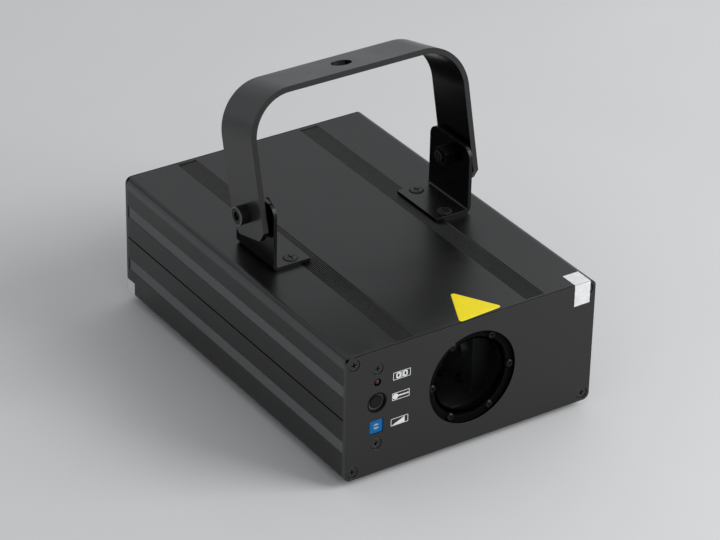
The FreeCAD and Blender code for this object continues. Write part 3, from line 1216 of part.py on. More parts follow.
def scanner(letter, x, y, z, axis, mirror_turn):
    """Motor, shaft with slotted holder, and mirror; the axis leads from the mirror's middle to the motor."""
    def along(distance):
        """The point at a distance from the mirror along the axis."""
        return [text + (" + %s" % distance if name == axis else "") for name, text in zip("xyz", (x, y, z))]

    case = cut(rod(along("motor_distance"), "motor_diameter", "motor_length", axis),
               rod(along("motor_distance"), "shaft_diameter + 2 * pivot_fit", "shaft_hold + 0.5", axis))
    keep(case, letter + "_motor")
    holder_start = "mirror_length / 2 - mirror_hold"
    spindle_length = "motor_distance + shaft_hold - (%s)" % holder_start
    spindle = rod(along(holder_start), "shaft_diameter", spindle_length, axis)
    holder = rod(along(holder_start), "hub_diameter", "hub_length", axis)
    glass_slot = mirror_plate(x, y, z, axis, mirror_turn, "2 * seat_gap")
    keep(cut(fuse(spindle, holder), glass_slot), letter + "_shaft")
    keep(mirror_plate(x, y, z, axis, mirror_turn, "0"), letter + "_mirror")


def mirror_plate(x, y, z, axis, turn, spare):
    """A mirror plate centred on its shaft's axis and turned about it, with spare thickness."""
    item = doc.addObject("Part::Box", "Mirror")
    length = ("mirror_length", "mirror_width", "mirror_thickness + %s" % spare)
    for prop, text in zip(("Length", "Width", "Height"), length):
        item.setExpression(prop, bind(text))
    aim = FreeCAD.Rotation(AXES["x"], AXES[axis]) * FreeCAD.Rotation(AXES["x"], turn)
    half = V(*[size(text) / 2 for text in length])
    item.Placement = FreeCAD.Placement(spot(x, y, z) - aim.multVec(half), aim)
    return item


scanner("x", "aperture_x", SCAN_Y, FIRST_Z, "y", 45)
scanner("y", "aperture_x", SCAN_Y, APERTURE_Z, "x", -45)

x_cheek = box(("aperture_x - %s" % clamp, block_y, DECK_TOP),
              ("%s - aperture_x + %s + block_thickness" % (block_x, clamp), "block_thickness",
               "%s + motor_diameter / 2 + block_margin - %s" % (FIRST_Z, DECK_TOP)))
y_cheek = box((block_x, "%s - %s" % (SCAN_Y, clamp), DECK_TOP),
              ("block_thickness", "%s + %s - (%s - %s)" % (block_y, "block_thickness", SCAN_Y, clamp),
               "%s + motor_diameter / 2 + block_margin - %s" % (APERTURE_Z, DECK_TOP)))
motor_bore = "motor_diameter + 2 * seat_gap"
x_bore = rod(("aperture_x", block_y, FIRST_Z), motor_bore, "block_thickness", "y")
y_bore = rod((block_x, SCAN_Y, APERTURE_Z), motor_bore, "block_thickness", "x")
clamp_z = "(%s + clamp_rise)" % DECK_TOP
clamp_screws = [((block_x, "%s - 1" % SCAN_Y, clamp_z), "x"),
                (("aperture_x - motor_diameter / 2 - clamp_side", block_y, clamp_z), "y")]
clamp_holes = [rod(start, SCREW_BORE, "m3_pan_length + seat_gap", axis) for start, axis in clamp_screws]
block_holes = [tapped(x, y) for x, y in block_screws]
keep(cut(fuse(x_cheek, y_cheek), x_bore, y_bore, *clamp_holes, *block_holes), "scanner_block")
group("clamp_screws", pan_head("m3_diameter", "m3_pan_head", "m3_pan_height", "m3_pan_length"),
      [(spot(*start), "-" + axis) for start, axis in clamp_screws])


# Power board and control board on their pillars

for name, x, pillars in zip(("power_board", "control_board"), CIRCUITS, circuit_pillars):
    blank_board = box((x, CIRCUIT_Y, DECK), ("circuit_width", "circuit_depth", "board_thickness"))
    keep(carried_plate(blank_board, "board_thickness", pillars), name)


def on_board(board, across, along):
    """A place on top of a board, as shares of its width and depth from its low corner."""
    return ("%s + circuit_width * %s" % (CIRCUITS[board], across),
            "%s + circuit_depth * %s" % (CIRCUIT_Y, along), CIRCUIT_TOP)


transformer = box(on_board(0, "0.2", "0.52"),
                  ("transformer_width", "transformer_depth", "transformer_height"))
capacitor = rod(on_board(0, "0.72", "0.19"), "capacitor_diameter", "capacitor_height")
sink = box(on_board(0, "0.17", "0.34"), ("transformer_width", "sink_thickness", "sink_height"))
doc.recompute()
power_parts = doc.addObject("Part::Compound", "PowerParts")
power_parts.Links = [transformer, capacitor, sink]
keep(power_parts, "power_board_parts")
chip = box(on_board(1, "0.34", "0.39"), ("chip_size", "chip_size", "chip_height"))
plugs = [box(on_board(1, "0.2 + (plug_length + plug_gap) * %d" % number, "0.79"),
             ("plug_length", "plug_width", "plug_height")) for number in (0, 1)]
control_parts = doc.addObject("Part::Compound", "ControlParts")
control_parts.Links = [chip] + plugs
keep(control_parts, "control_board_parts")

doc.recompute()
for item in doc.Objects:
    if "Invalid" in item.State or "Error" in item.State:
        raise RuntimeError("%s failed: %s" % (item.Label, item.State))
for item in nodes:
    if item.Shape.isNull() or not item.Shape.isValid() or item.Shape.Volume <= 0:
        raise RuntimeError("%s has no valid shape" % item.Label)
os.makedirs("parts", exist_ok=True)
for item in nodes:
    item.Shape.exportStep("parts/%s.step" % item.Label)
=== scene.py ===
import bpy
import numpy as np
from mathutils import Matrix


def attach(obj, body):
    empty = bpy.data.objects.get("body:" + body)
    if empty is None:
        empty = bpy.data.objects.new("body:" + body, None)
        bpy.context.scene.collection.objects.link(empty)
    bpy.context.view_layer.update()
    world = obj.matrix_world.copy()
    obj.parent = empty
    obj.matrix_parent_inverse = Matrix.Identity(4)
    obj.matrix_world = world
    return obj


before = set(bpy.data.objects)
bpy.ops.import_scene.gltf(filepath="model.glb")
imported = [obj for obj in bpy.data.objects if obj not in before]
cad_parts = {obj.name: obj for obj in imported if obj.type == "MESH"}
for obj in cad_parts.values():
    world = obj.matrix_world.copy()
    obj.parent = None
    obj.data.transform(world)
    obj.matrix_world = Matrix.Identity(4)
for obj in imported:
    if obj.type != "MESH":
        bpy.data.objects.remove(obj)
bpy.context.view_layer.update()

# Half shells
# Two extruded aluminium sections, black anodised, that meet in a tongued seam at mid height.
# The die leaves faint straight lines along the housing, and handled edges are rubbed a little paler.
# The ribbed bands, their steps and the rounded upper edges carry painted light and shade.


def finish(name):
    """A new material: returns it with its node tree and its Principled shader."""
    material = bpy.data.materials.new(name)
    material.use_nodes = True
    tree = material.node_tree
    return material, tree, tree.nodes["Principled BSDF"]


def add(tree, kind, inputs=None, **settings):
    """A shader node with its settings; an input is a plain value or another node's output socket."""
    made = tree.nodes.new("ShaderNode" + kind)
    for key, value in settings.items():
        setattr(made, key, value)
    connect(tree, made, inputs or {})
    return made


def connect(tree, target, inputs):
    """Set or link a node's inputs by name or number."""
    for key, value in inputs.items():
        if isinstance(value, bpy.types.NodeSocket):
            tree.links.new(value, target.inputs[key])
        else:
            target.inputs[key].default_value = value


def effect(name, inputs, outputs):
    """An empty shader node group: inputs give each socket's start value, outputs its type."""
    group = bpy.data.node_groups.new(name, "ShaderNodeTree")
    for label, value in inputs.items():
        kind = "NodeSocketVector" if isinstance(value, tuple) else "NodeSocketFloat"
        group.interface.new_socket(label, in_out="INPUT", socket_type=kind).default_value = value
    for label, kind in outputs.items():
        group.interface.new_socket(label, in_out="OUTPUT", socket_type="NodeSocket" + kind)
    return group, group.nodes.new("NodeGroupInput").outputs, group.nodes.new("NodeGroupOutput")


def use(tree, group, **inputs):
    """A placed copy of a node group with its own values; underscores stand for spaces."""
    placed = tree.nodes.new("ShaderNodeGroup")
    placed.node_tree = group
    connect(tree, placed, {key.replace("_", " "): value for key, value in inputs.items()})
    return placed.outputs


def span(tree, value, low, high, to_low=0.0, to_high=1.0):
    """A value carried from one range to another, held at its ends."""
    return add(tree, "MapRange", {"Value": value, "From Min": low, "From Max": high,
                                  "To Min": to_low, "To Max": to_high}).outputs["Result"]


def maths(tree, operation, first, second=0.0):
    """One sum of two values."""
    return add(tree, "Math", {0: first, 1: second}, operation=operation).outputs[0]


def times(tree, first, second):
    """Two values multiplied: of two masks, the place that both cover."""
    return maths(tree, "MULTIPLY", first, second)


def off(tree, value, middle):
    """How far a value lies from a middle value, on either side."""
    return maths(tree, "ABSOLUTE", maths(tree, "SUBTRACT", value, middle))


def around(tree, middle):
    """Object coordinates, measured from a middle point of the piece."""
    place = add(tree, "TexCoord").outputs["Object"]
    back = tuple(-value for value in middle)
    return add(tree, "Mapping", {"Vector": place, "Location": back}).outputs["Vector"]


def folded_over(tree, place):
    """A place with all its parts made positive, so that opposite sides share one finish."""
    return add(tree, "VectorMath", {0: place}, operation="ABSOLUTE").outputs["Vector"]


def axes(tree, place):
    """The three parts of a place or direction, by their letters."""
    return add(tree, "SeparateXYZ", {"Vector": place}).outputs


def blend_colours(tree, share, first, second):
    """Two colours mixed by a share."""
    mixed = add(tree, "Mix", {"Factor": share}, data_type="RGBA")
    connect(tree, mixed, {6: first, 7: second})
    return mixed.outputs[2]


def raised(tree, strength, depth, height, normal=None):
    """A bumped normal: a height field of some strength and depth, over a plain or a softened normal."""
    inputs = {"Strength": strength, "Distance": depth, "Height": height}
    if normal:
        inputs["Normal"] = normal
    return add(tree, "Bump", inputs).outputs["Normal"]


def paint(material, *names):
    """Give a material to the slots of CAD nodes."""
    for name in names:
        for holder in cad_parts[name].material_slots:
            holder.material = material


# Rounded edges: the normal is averaged over a small reach, and where it turns, the edge is rubbed.
soft_edges, given, result = effect("Soft edges", {"Reach": 0.0004, "Breakup": 260.0},
                                   {"Wear": "Float", "Normal": "Vector"})
rounded = add(soft_edges, "Bevel", {"Radius": given["Reach"]}, samples=6).outputs["Normal"]
facing = add(soft_edges, "NewGeometry").outputs["Normal"]
turn = add(soft_edges, "VectorMath", {0: rounded, 1: facing}, operation="DOT_PRODUCT").outputs["Value"]
place = add(soft_edges, "TexCoord").outputs["Object"]
patches = add(soft_edges, "TexNoise", {"Vector": place, "Scale": given["Breakup"],
                                       "Detail": 3.0}).outputs["Fac"]
rubbed = times(soft_edges, span(soft_edges, turn, 0.985, 0.86), span(soft_edges, patches, 0.36, 0.62))
connect(soft_edges, result, {"Wear": rubbed, "Normal": rounded})

# Drawn lines: noise stretched along one axis, as an extrusion die or a brush leaves it.
drawn_lines, given, result = effect("Drawn lines", {"Stretch": (2600.0, 9.0, 2600.0)},
                                    {"Tone": "Float", "Height": "Float"})
place = add(drawn_lines, "TexCoord").outputs["Object"]
along = add(drawn_lines, "Mapping", {"Vector": place, "Scale": given["Stretch"]}).outputs["Vector"]
lines = add(drawn_lines, "TexNoise", {"Vector": along, "Scale": 1.0, "Detail": 4.0,
                                      "Roughness": 0.62}).outputs["Fac"]
connect(drawn_lines, result, {"Tone": span(drawn_lines, lines, 0.3, 0.7), "Height": lines})

# Handling: soft large patches where skin and cloth have changed the gloss.
handling, given, result = effect("Handling", {"Scale": 34.0}, {"Amount": "Float"})
place = add(handling, "TexCoord").outputs["Object"]
clouds = add(handling, "TexNoise", {"Vector": place, "Scale": given["Scale"], "Detail": 5.0,
                                    "Roughness": 0.55, "Distortion": 0.6}).outputs["Fac"]
connect(handling, result, {"Amount": span(handling, clouds, 0.38, 0.66)})

# Speckle: the fine matt pores of an anodised or sprayed skin.
speckle, given, result = effect("Speckle", {"Scale": 2400.0}, {"Tone": "Float", "Height": "Float"})
place = add(speckle, "TexCoord").outputs["Object"]
pores = add(speckle, "TexNoise", {"Vector": place, "Scale": given["Scale"], "Detail": 2.0}).outputs["Fac"]
connect(speckle, result, {"Tone": span(speckle, pores, 0.32, 0.68), "Height": pores})

# Bands: where the ribbed bands, their steps, the shoulder with its roll and the shell's cut ends lie.
# Each is a mask that fades over a fraction of a millimetre, worked out from the place on the housing.
bands, given, result = effect("Bands", {}, {"Top": "Float", "Step_light": "Float", "Side": "Float",
                                            "Shoulder_highlight": "Float", "Roll_highlight": "Float", "End": "Float"})
middle_y, middle_z = -0.0015, 0.0395
top_band_x, band_step_x = 0.0385, 0.00545
side_band_z, shoulder_z = 0.016, 0.0316
centred = around(bands, (0.0, middle_y, middle_z))
height = axes(bands, centred)["Z"]
out = axes(bands, folded_over(bands, centred))
near_band = off(bands, out["X"], top_band_x)
near_side_band = off(bands, out["Z"], side_band_z)
near_shoulder = off(bands, height, shoulder_z)
near_step = off(bands, near_band, band_step_x)
connect(bands, result, {
    "Top": times(bands, span(bands, near_band, 0.0058, 0.0052), span(bands, out["Z"], 0.0345, 0.0347)),
    "Step_light": times(bands, span(bands, near_step, 0.00035, 0.00022), span(bands, height, 0.03548, 0.03545)),
    "Side": times(bands, span(bands, near_side_band, 0.0036, 0.0033), span(bands, out["X"], 0.0736, 0.0738)),
    "Shoulder_highlight": times(bands, span(bands, near_shoulder, 0.0027, 0.0022),
                      span(bands, out["X"], 0.0733, 0.0737)),
    "Roll_highlight": times(bands, span(bands, height, 0.0348, 0.0351), span(bands, out["X"], 0.0713, 0.0716)),
    "End": times(bands, span(bands, out["Y"], 0.10565, 0.1058), span(bands, out["X"], 0.0722, 0.0715))})

shell_black, tree, shader = finish("anodised_extrusion")
edge = use(tree, soft_edges, Reach=0.0003, Breakup=240.0)
die = use(tree, drawn_lines, Stretch=(2300.0, 7.0, 2300.0))
pore = use(tree, speckle, Scale=2600.0)
touch = use(tree, handling, Scale=26.0)
band = use(tree, bands)
tone = blend_colours(tree, die["Tone"], (0.0014, 0.0015, 0.0017, 1), (0.0027, 0.0028, 0.0031, 1))
# Painted shade: the top bands darker, and duller by a touch of metal, as their ribs lose the light.
tone = blend_colours(tree, band["Top"], tone, (0.0012, 0.0012, 0.0014, 1))
# Painted light: the steps of the top bands lighter against the shade in them.
tone = blend_colours(tree, band["Step_light"], tone, (0.0300, 0.0302, 0.0306, 1))
# Painted highlight along the upper edge: a weak one on its roll and a stronger one on the shoulder below.
tone = blend_colours(tree, band["Roll_highlight"], tone, (0.0120, 0.0121, 0.0124, 1))
tone = blend_colours(tree, band["Shoulder_highlight"], tone, (0.0400, 0.0403, 0.0410, 1))
tone = blend_colours(tree, times(tree, edge["Wear"], 0.4), tone, (0.060, 0.061, 0.063, 1))
tone = blend_colours(tree, band["End"], tone, (0.002, 0.002, 0.002, 1))
# Painted light: the side bands lighter, as their ribs take the light from above.
tone = blend_colours(tree, band["Side"], tone, (0.0840, 0.0843, 0.0853, 1))
rough = maths(tree, "ADD", span(tree, touch["Amount"], 0, 1, 0.29, 0.35),
              span(tree, pore["Tone"], 0, 1, -0.03, 0.03))
relief = maths(tree, "ADD", times(tree, die["Height"], 0.5), times(tree, pore["Height"], 0.5))
connect(tree, shader, {"Base Color": tone, "Roughness": rough, "Metallic": times(tree, band["Top"], 0.15),
                       "Normal": raised(tree, 0.2, 0.00005, relief, edge["Normal"])})
paint(shell_black, "upper_shell", "lower_shell")

# End plates
# Flat anodised aluminium sheet, punched and countersunk; a finer, more even black than the extrusion.
# The cut rims are rubbed paler and the side rims paler still; the inner faces are painted lighter against
# their shade.
# The countersinks, the opening's rim and the front rim along top and bottom are painted black as shade.
plate_black, tree, shader = finish("anodised_plate")
edge = use(tree, soft_edges, Reach=0.00012, Breakup=330.0)
pore = use(tree, speckle, Scale=3100.0)
touch = use(tree, handling, Scale=31.0)
out = axes(tree, folded_over(tree, around(tree, (0.0, middle_y, middle_z))))
in_hole = times(tree, span(tree, out["Z"], 0.0351, 0.0349), span(tree, out["X"], 0.0746, 0.0744))
in_hole = times(tree, in_hole, span(tree, out["Y"], 0.1062, 0.1064))
on_rim = times(tree, span(tree, out["Y"], 0.1073, 0.1075), span(tree, out["X"], 0.0716, 0.0708))
below_face = span(tree, out["Y"], 0.10796, 0.10788)
sunk_shade = times(tree, below_face, maths(tree, "MAXIMUM", in_hole, on_rim))
side_rim = span(tree, out["X"], 0.07488, 0.07494)
inner_face = span(tree, out["Y"], 0.10606, 0.10602)
tone = blend_colours(tree, pore["Tone"], (0.0018, 0.0019, 0.0021, 1), (0.0032, 0.0033, 0.0036, 1))
tone = blend_colours(tree, side_rim, tone, (0.030, 0.030, 0.031, 1))
# Painted light: the inner faces lighter against the shade at the band ends.
tone = blend_colours(tree, inner_face, tone, (0.040, 0.040, 0.041, 1))
tone = blend_colours(tree, times(tree, edge["Wear"], 0.1), tone, (0.060, 0.060, 0.062, 1))
# Painted shade: the countersinks, the opening's rim and the front rim black, with metal to kill their gloss.
tone = blend_colours(tree, sunk_shade, tone, (0.001, 0.001, 0.001, 1))
rough = maths(tree, "ADD", span(tree, touch["Amount"], 0, 1, 0.32, 0.40),
              span(tree, pore["Tone"], 0, 1, -0.04, 0.04))
rough = maths(tree, "ADD", rough, times(tree, sunk_shade, 0.6))
connect(tree, shader, {"Base Color": tone, "Roughness": rough, "Metallic": sunk_shade,
                       "Normal": raised(tree, 0.2, 0.00005, pore["Height"], edge["Normal"])})
paint(plate_black, "front_plate", "rear_plate")

# Window ring
# A turned ring behind the front plate, sprayed dead black so that it throws no stray light.


def grained(name, scale, dark, pale, rough, edges=None, bump=None, **constants):
    """A plain finish: fine pores carry the colour between two tones and the roughness between two values.

    Edges are softened by a reach and a breakup, and the pores stand out by a strength and a depth,
    where these are given."""
    made, tree, shader = finish(name)
    pore = use(tree, speckle, Scale=scale)
    inputs = {"Base Color": blend_colours(tree, pore["Tone"], dark, pale),
              "Roughness": span(tree, pore["Tone"], 0, 1, rough[0], rough[1])}
    normal = None
    if edges:
        normal = use(tree, soft_edges, Reach=edges[0], Breakup=edges[1])["Normal"]
    if bump:
        normal = raised(tree, bump[0], bump[1], pore["Height"], normal)
    if normal:
        inputs["Normal"] = normal
    inputs.update({key.replace("_", " "): value for key, value in constants.items()})
    connect(tree, shader, inputs)
    return made


ring_black = grained("matt_black_ring", 2700.0, (0.0010, 0.0010, 0.0011, 1), (0.0022, 0.0022, 0.0023, 1),
                     (0.55, 0.7), bump=(0.3, 0.00006), Specular_IOR_Level=0.04)
paint(ring_black, "window_ring")

# Blackened screws
# Countersunk and pan head steel screws with cross recesses, blackened in oil; the recesses are painted black
# as shade.
# The driver has rubbed the rims of the recesses.
screw_black, tree, shader = finish("blackened_screw")
edge = use(tree, soft_edges, Reach=0.00022, Breakup=900.0)
pore = use(tree, speckle, Scale=4200.0)
depth = maths(tree, "ABSOLUTE", axes(tree, around(tree, (0.0, middle_y, 0.0)))["Y"])
recess_shade = times(tree, span(tree, depth, 0.10764, 0.10754), span(tree, depth, 0.1064, 0.1066))
tone = blend_colours(tree, pore["Tone"], (0.005, 0.005, 0.0054, 1), (0.010, 0.010, 0.0104, 1))
tone = blend_colours(tree, times(tree, edge["Wear"], 0.8), tone, (0.20, 0.198, 0.195, 1))
# Painted shade: the recesses black, with metal to kill their gloss.
tone = blend_colours(tree, recess_shade, tone, (0.001, 0.001, 0.001, 1))
connect(tree, shader, {"Base Color": tone, "Roughness": span(tree, pore["Tone"], 0, 1, 0.28, 0.38),
                       "Normal": raised(tree, 0.25, 0.00004, pore["Height"], edge["Normal"]),
                       "Metallic": span(tree, recess_shade, 0, 1, 0.15, 0.9)})
paint(screw_black, "plate_screws", "sound_board_screws", "socket_screws", "fan_screws")

# Bracket screws
# Low crowned screws that hold the bracket feet, polished flat by the driver; the crowns are painted paler as
# lit. A ring of painted shade is left where they meet the foot.


def from_axis(tree, place, across):
    """The distance from an axis: the length of a place with its part along the axis taken out."""
    flat = add(tree, "VectorMath", {0: place, 1: across}, operation="MULTIPLY").outputs["Vector"]
    return add(tree, "VectorMath", {0: flat}, operation="LENGTH").outputs["Value"]


crown_black, tree, shader = finish("crown_painted_light")
foot_screw_place = (0.0473, 0.013, 0.0)
pore = use(tree, speckle, Scale=4200.0)
apart = folded_over(tree, around(tree, (0.0, middle_y, 0.0)))
from_screw = add(tree, "VectorMath", {0: apart, 1: foot_screw_place}, operation="SUBTRACT").outputs["Vector"]
radius = from_axis(tree, from_screw, (1.0, 1.0, 0.0))
facing = add(tree, "NewGeometry").outputs["Normal"]
upward = axes(tree, facing)["Z"]
crown = times(tree, span(tree, radius, 0.0034, 0.0031), span(tree, upward, 0.7, 0.85))
levelled = add(tree, "Mix", {"Factor": crown}, data_type="VECTOR")
connect(tree, levelled, {4: facing, 5: (0.0, 0.0, 1.0)})
# Painted light on the crowns, and painted shade round their rims.
tone = blend_colours(tree, crown, (0.0010, 0.0010, 0.0011, 1), (0.0095, 0.0095, 0.0098, 1))
rough = maths(tree, "SUBTRACT", span(tree, pore["Tone"], 0, 1, 0.86, 0.96), times(tree, crown, 0.55))
connect(tree, shader, {"Base Color": tone, "Normal": levelled.outputs[1], "Roughness": rough})
paint(crown_black, "bracket_screws")

# Pivot bolts
# Socket head bolts of the same blackened steel, with a rolled grip round the head's side.
# The rim of the head's end carries a painted highlight, and its edges are rubbed bright.
bolt_black, tree, shader = finish("knurled_bolt")
pivot_z = 0.102
grip_teeth, grip_pitch = 44.0, 9000.0
edge = use(tree, soft_edges, Reach=0.00035, Breakup=500.0)
pore = use(tree, speckle, Scale=3800.0)
centred = around(tree, (0.0, middle_y, pivot_z))
out = axes(tree, centred)
round_axis = maths(tree, "ARCTAN2", out["Z"], out["Y"])
grip = times(tree, maths(tree, "SINE", times(tree, round_axis, grip_teeth)),
             maths(tree, "SINE", times(tree, out["X"], grip_pitch)))
rim_highlight = times(tree, span(tree, maths(tree, "ABSOLUTE", out["X"]), 0.0710, 0.0713),
            span(tree, from_axis(tree, centred, (0.0, 1.0, 1.0)), 0.0042, 0.0046))
tone = blend_colours(tree, pore["Tone"], (0.004, 0.004, 0.0044, 1), (0.008, 0.008, 0.0084, 1))
tone = blend_colours(tree, edge["Wear"], tone, (0.24, 0.238, 0.235, 1))
# Painted highlight: a bright ring on the rim of the head's end.
tone = blend_colours(tree, rim_highlight, tone, (0.12, 0.119, 0.118, 1))
connect(tree, shader, {"Base Color": tone, "Roughness": span(tree, pore["Tone"], 0, 1, 0.3, 0.42),
                       "Normal": raised(tree, 0.4, 0.0001, grip, edge["Normal"]), "Specular IOR Level": 0.16})
paint(bolt_black, "pivot_bolts")

# Printed marks
# White screen print on the front plate beside each control: two ovals, a microphone and a rising wedge.
# Each sits in a thin frame and is as thin as ink, just proud of the plate.


def outline(corners, radius, count=96):
    """A rounded convex outline: for each direction, the corner furthest that way plus a radius along it."""
    turn = np.linspace(0.0, 2 * np.pi, count)
    facing = np.stack([np.cos(turn), np.sin(turn)], 1)
    corners = np.asarray(corners, float)
    return corners[np.argmax(facing @ corners.T, 1)] + radius * facing


def filled(corners, radius, rings=6):
    """A flat patch: rings from the middle of the corners out to their rounded outline."""
    middle = np.mean(corners, 0)
    share = np.linspace(0.002, 1.0, rings)[:, None, None]
    return middle + share * (outline(corners, radius) - middle)


def frame_line(corners, radius, line):
    """A closed line: two rounded outlines, a line's width apart."""
    return np.stack([outline(corners, radius), outline(corners, radius + line)])


def rectangle(left, right, low, high):
    """The four corners of an upright rectangle."""
    return [(left, low), (right, low), (right, high), (left, high)]


def upright(flat, level):
    """Flat points set upright in the plane at a depth: the second coordinate becomes the height."""
    return np.stack([flat[..., 0], np.full(flat.shape[:-1], level), flat[..., 1]], -1)


def piece(name, grids, outward, material, body):
    """A mesh piece from grids of points in millimetres: neighbours make quads, wound to face outward."""
    points, quads, start = [], [], 0
    for grid in grids:
        rows, columns = grid.shape[:2]
        number = start + np.arange(rows * columns).reshape(rows, columns)
        quad = np.stack([number[:-1, :-1], number[1:, :-1], number[1:, 1:], number[:-1, 1:]], -1)
        quad = quad.reshape(-1, 4)
        flat = grid.reshape(-1, 3)
        across = flat[quad[:, 2] - start] - flat[quad[:, 0] - start]
        along = flat[quad[:, 3] - start] - flat[quad[:, 1] - start]
        faces_out = (np.cross(across, along).sum(0) @ np.asarray(outward, float)) > 0
        points.append(flat / 1000.0)
        quads.append(quad if faces_out else quad[:, ::-1])
        start += rows * columns
    mesh = bpy.data.meshes.new(name)
    mesh.from_pydata(np.concatenate(points).tolist(), [], np.concatenate(quads).tolist())
    mesh.polygons.foreach_set("use_smooth", np.ones(len(mesh.polygons), bool))
    mesh.materials.append(material)
    made = bpy.data.objects.new(name, mesh)
    bpy.context.collection.objects.link(made)
    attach(made, body)


white_ink, tree, shader = finish("white_ink")
pore = use(tree, speckle, Scale=5200.0)
touch = use(tree, handling, Scale=420.0)
ink = blend_colours(tree, pore["Tone"], (0.56, 0.56, 0.56, 1), (0.74, 0.74, 0.73, 1))
connect(tree, shader, {"Base Color": blend_colours(tree, touch["Amount"], ink, (0.66, 0.66, 0.66, 1)),
                       "Roughness": span(tree, pore["Tone"], 0, 1, 0.42, 0.58)})
ink_level = -109.53
frames = [(-47.0, -37.5, 55.05, 58.65), (-47.3, -37.8, 43.27, 46.77), (-47.7, -38.2, 28.52, 31.97)]
ovals, bars = (-44.25, -40.2), (-42.74, -41.71)
microphone_head, cord_end = (-45.7, 45.02), (-38.5, 45.05)
microphone_stem = [(-44.1, 44.75), (-44.1, 45.3), (-38.9, 44.85), (-38.9, 45.25)]
wedge = [(-47.2, 28.6), (-40.0, 28.6), (-40.0, 31.7)]
print_shapes = [frame_line(rectangle(*sides), 0.06, 0.32) for sides in frames]
print_shapes += [frame_line(rectangle(x - 0.15, x + 0.15, 56.35, 57.35), 0.42, 0.8) for x in ovals]
print_shapes += [filled(rectangle(x - 0.2, x + 0.2, 55.4, 58.3), 0.06) for x in bars]
print_shapes += [filled([microphone_head], 1.6), filled(microphone_stem, 0.15), filled([cord_end], 0.55)]
print_shapes += [filled(wedge, 0.08)]
piece("printed_marks", [upright(shape, ink_level) for shape in print_shapes], (0, -1, 0), white_ink,
      "housing")

# Bright small hardware
# Zinc-plated steel nuts, spacers, foot screws and the screws inside; a bluish even grey.
zinc = grained("zinc_plate", 3600.0, (0.40, 0.41, 0.43, 1), (0.56, 0.57, 0.58, 1), (0.22, 0.36),
               edges=(0.0002, 800.0), bump=(0.2, 0.00003), Metallic=1.0)
paint(zinc, "sound_board_spacers", "sound_board_nuts", "bracket_nuts", "foot_screws", "inner_screws",
      "base_screws")

# Window glass and its screws
# A clear polished disc with a dark anti-reflection bloom, held by the heads of six small screws.
# The screws are blackened and their edges a little rubbed, and so are the nuts on the pivot bolts.
glass, tree, shader = finish("window_glass")
touch = use(tree, handling, Scale=60.0)
connect(tree, shader, {"Base Color": (0.94, 0.97, 0.96, 1), "IOR": 1.04, "Transmission Weight": 1.0,
                       "Roughness": span(tree, touch["Amount"], 0, 1, 0.0, 0.035)})
paint(glass, "window_glass")

rubbed_screw, tree, shader = finish("rubbed_screw")
edge = use(tree, soft_edges, Reach=0.0003, Breakup=1300.0)
pore = use(tree, speckle, Scale=1700.0)
tone = blend_colours(tree, edge["Wear"], (0.002, 0.002, 0.0022, 1), (0.03, 0.03, 0.03, 1))
connect(tree, shader, {"Base Color": tone, "Roughness": span(tree, pore["Tone"], 0, 1, 0.24, 0.4),
                       "Normal": edge["Normal"], "Specular IOR Level": 0.18})
paint(rubbed_screw, "window_screws", "pivot_nuts")

# Lamp
# A small moulded lamp of clear red plastic, unlit and dark, pushed through the front plate from behind.
lamp_red = grained("red_lamp", 900.0, (0.026, 0.0045, 0.006, 1), (0.044, 0.007, 0.009, 1), (0.34, 0.46),
                   Specular_IOR_Level=0.35)
paint(lamp_red, "sound_led")

# Microphone
# A dull aluminium can with a dark felt disc, pressed into a soft black rubber grommet.
# The housing's feet and the friction washers at the pivots are of a harder rubber.
# The felt is painted darker at its edge as shade.
can, tree, shader = finish("microphone_can")
column_x, microphone_z = -0.0565, 0.045
felt_start, felt_full = 0.00372, 0.00362
radius = from_axis(tree, around(tree, (column_x, 0.0, microphone_z)), (1.0, 0.0, 1.0))
felt = span(tree, radius, felt_start, felt_full)
felt_edge_shade = span(tree, radius, 0.0031, 0.0034)
fibre = use(tree, speckle, Scale=5200.0)
metal = blend_colours(tree, fibre["Tone"], (0.060, 0.060, 0.063, 1), (0.090, 0.090, 0.094, 1))
wool = blend_colours(tree, fibre["Tone"], (0.003, 0.003, 0.0033, 1), (0.010, 0.010, 0.0105, 1))
# Painted shade: the felt darker at its edge, where it meets the can.
wool = blend_colours(tree, felt_edge_shade, wool, (0.0012, 0.0012, 0.0013, 1))
connect(tree, shader, {"Base Color": blend_colours(tree, felt, metal, wool),
                       "Roughness": span(tree, felt, 0, 1, 0.36, 0.95),
                       "Metallic": span(tree, felt, 0, 1, 0.6, 0.0),
                       "Normal": raised(tree, 0.5, 0.0001, times(tree, fibre["Height"], felt)),
                       "Specular IOR Level": 0.2})
paint(can, "microphone_capsule")

rubber = grained("black_rubber", 1900.0, (0.003, 0.003, 0.0033, 1), (0.008, 0.008, 0.0085, 1), (0.62, 0.82),
                 edges=(0.0003, 500.0), bump=(0.35, 0.0001))
paint(rubber, "rubber_feet", "pivot_washers")
soft_rubber = grained("soft_black_rubber", 2600.0, (0.0015, 0.0015, 0.0017, 1), (0.0035, 0.0035, 0.0037, 1),
                      (0.7, 0.85), bump=(0.3, 0.0001), Specular_IOR_Level=0.1)
paint(soft_rubber, "microphone_grommet")

# Trimmer
# A square blue moulding with a slotted centre that a small screwdriver turns.
# The centre is worn pale in the middle, and its slot is painted dark as shade.
blue = grained("blue_moulding", 2000.0, (0.0006, 0.098, 0.29, 1), (0.0012, 0.116, 0.34, 1), (0.34, 0.44),
               edges=(0.0003, 600.0), bump=(0.2, 0.00006), Specular_IOR_Level=0.12)
paint(blue, "trimmer_body")

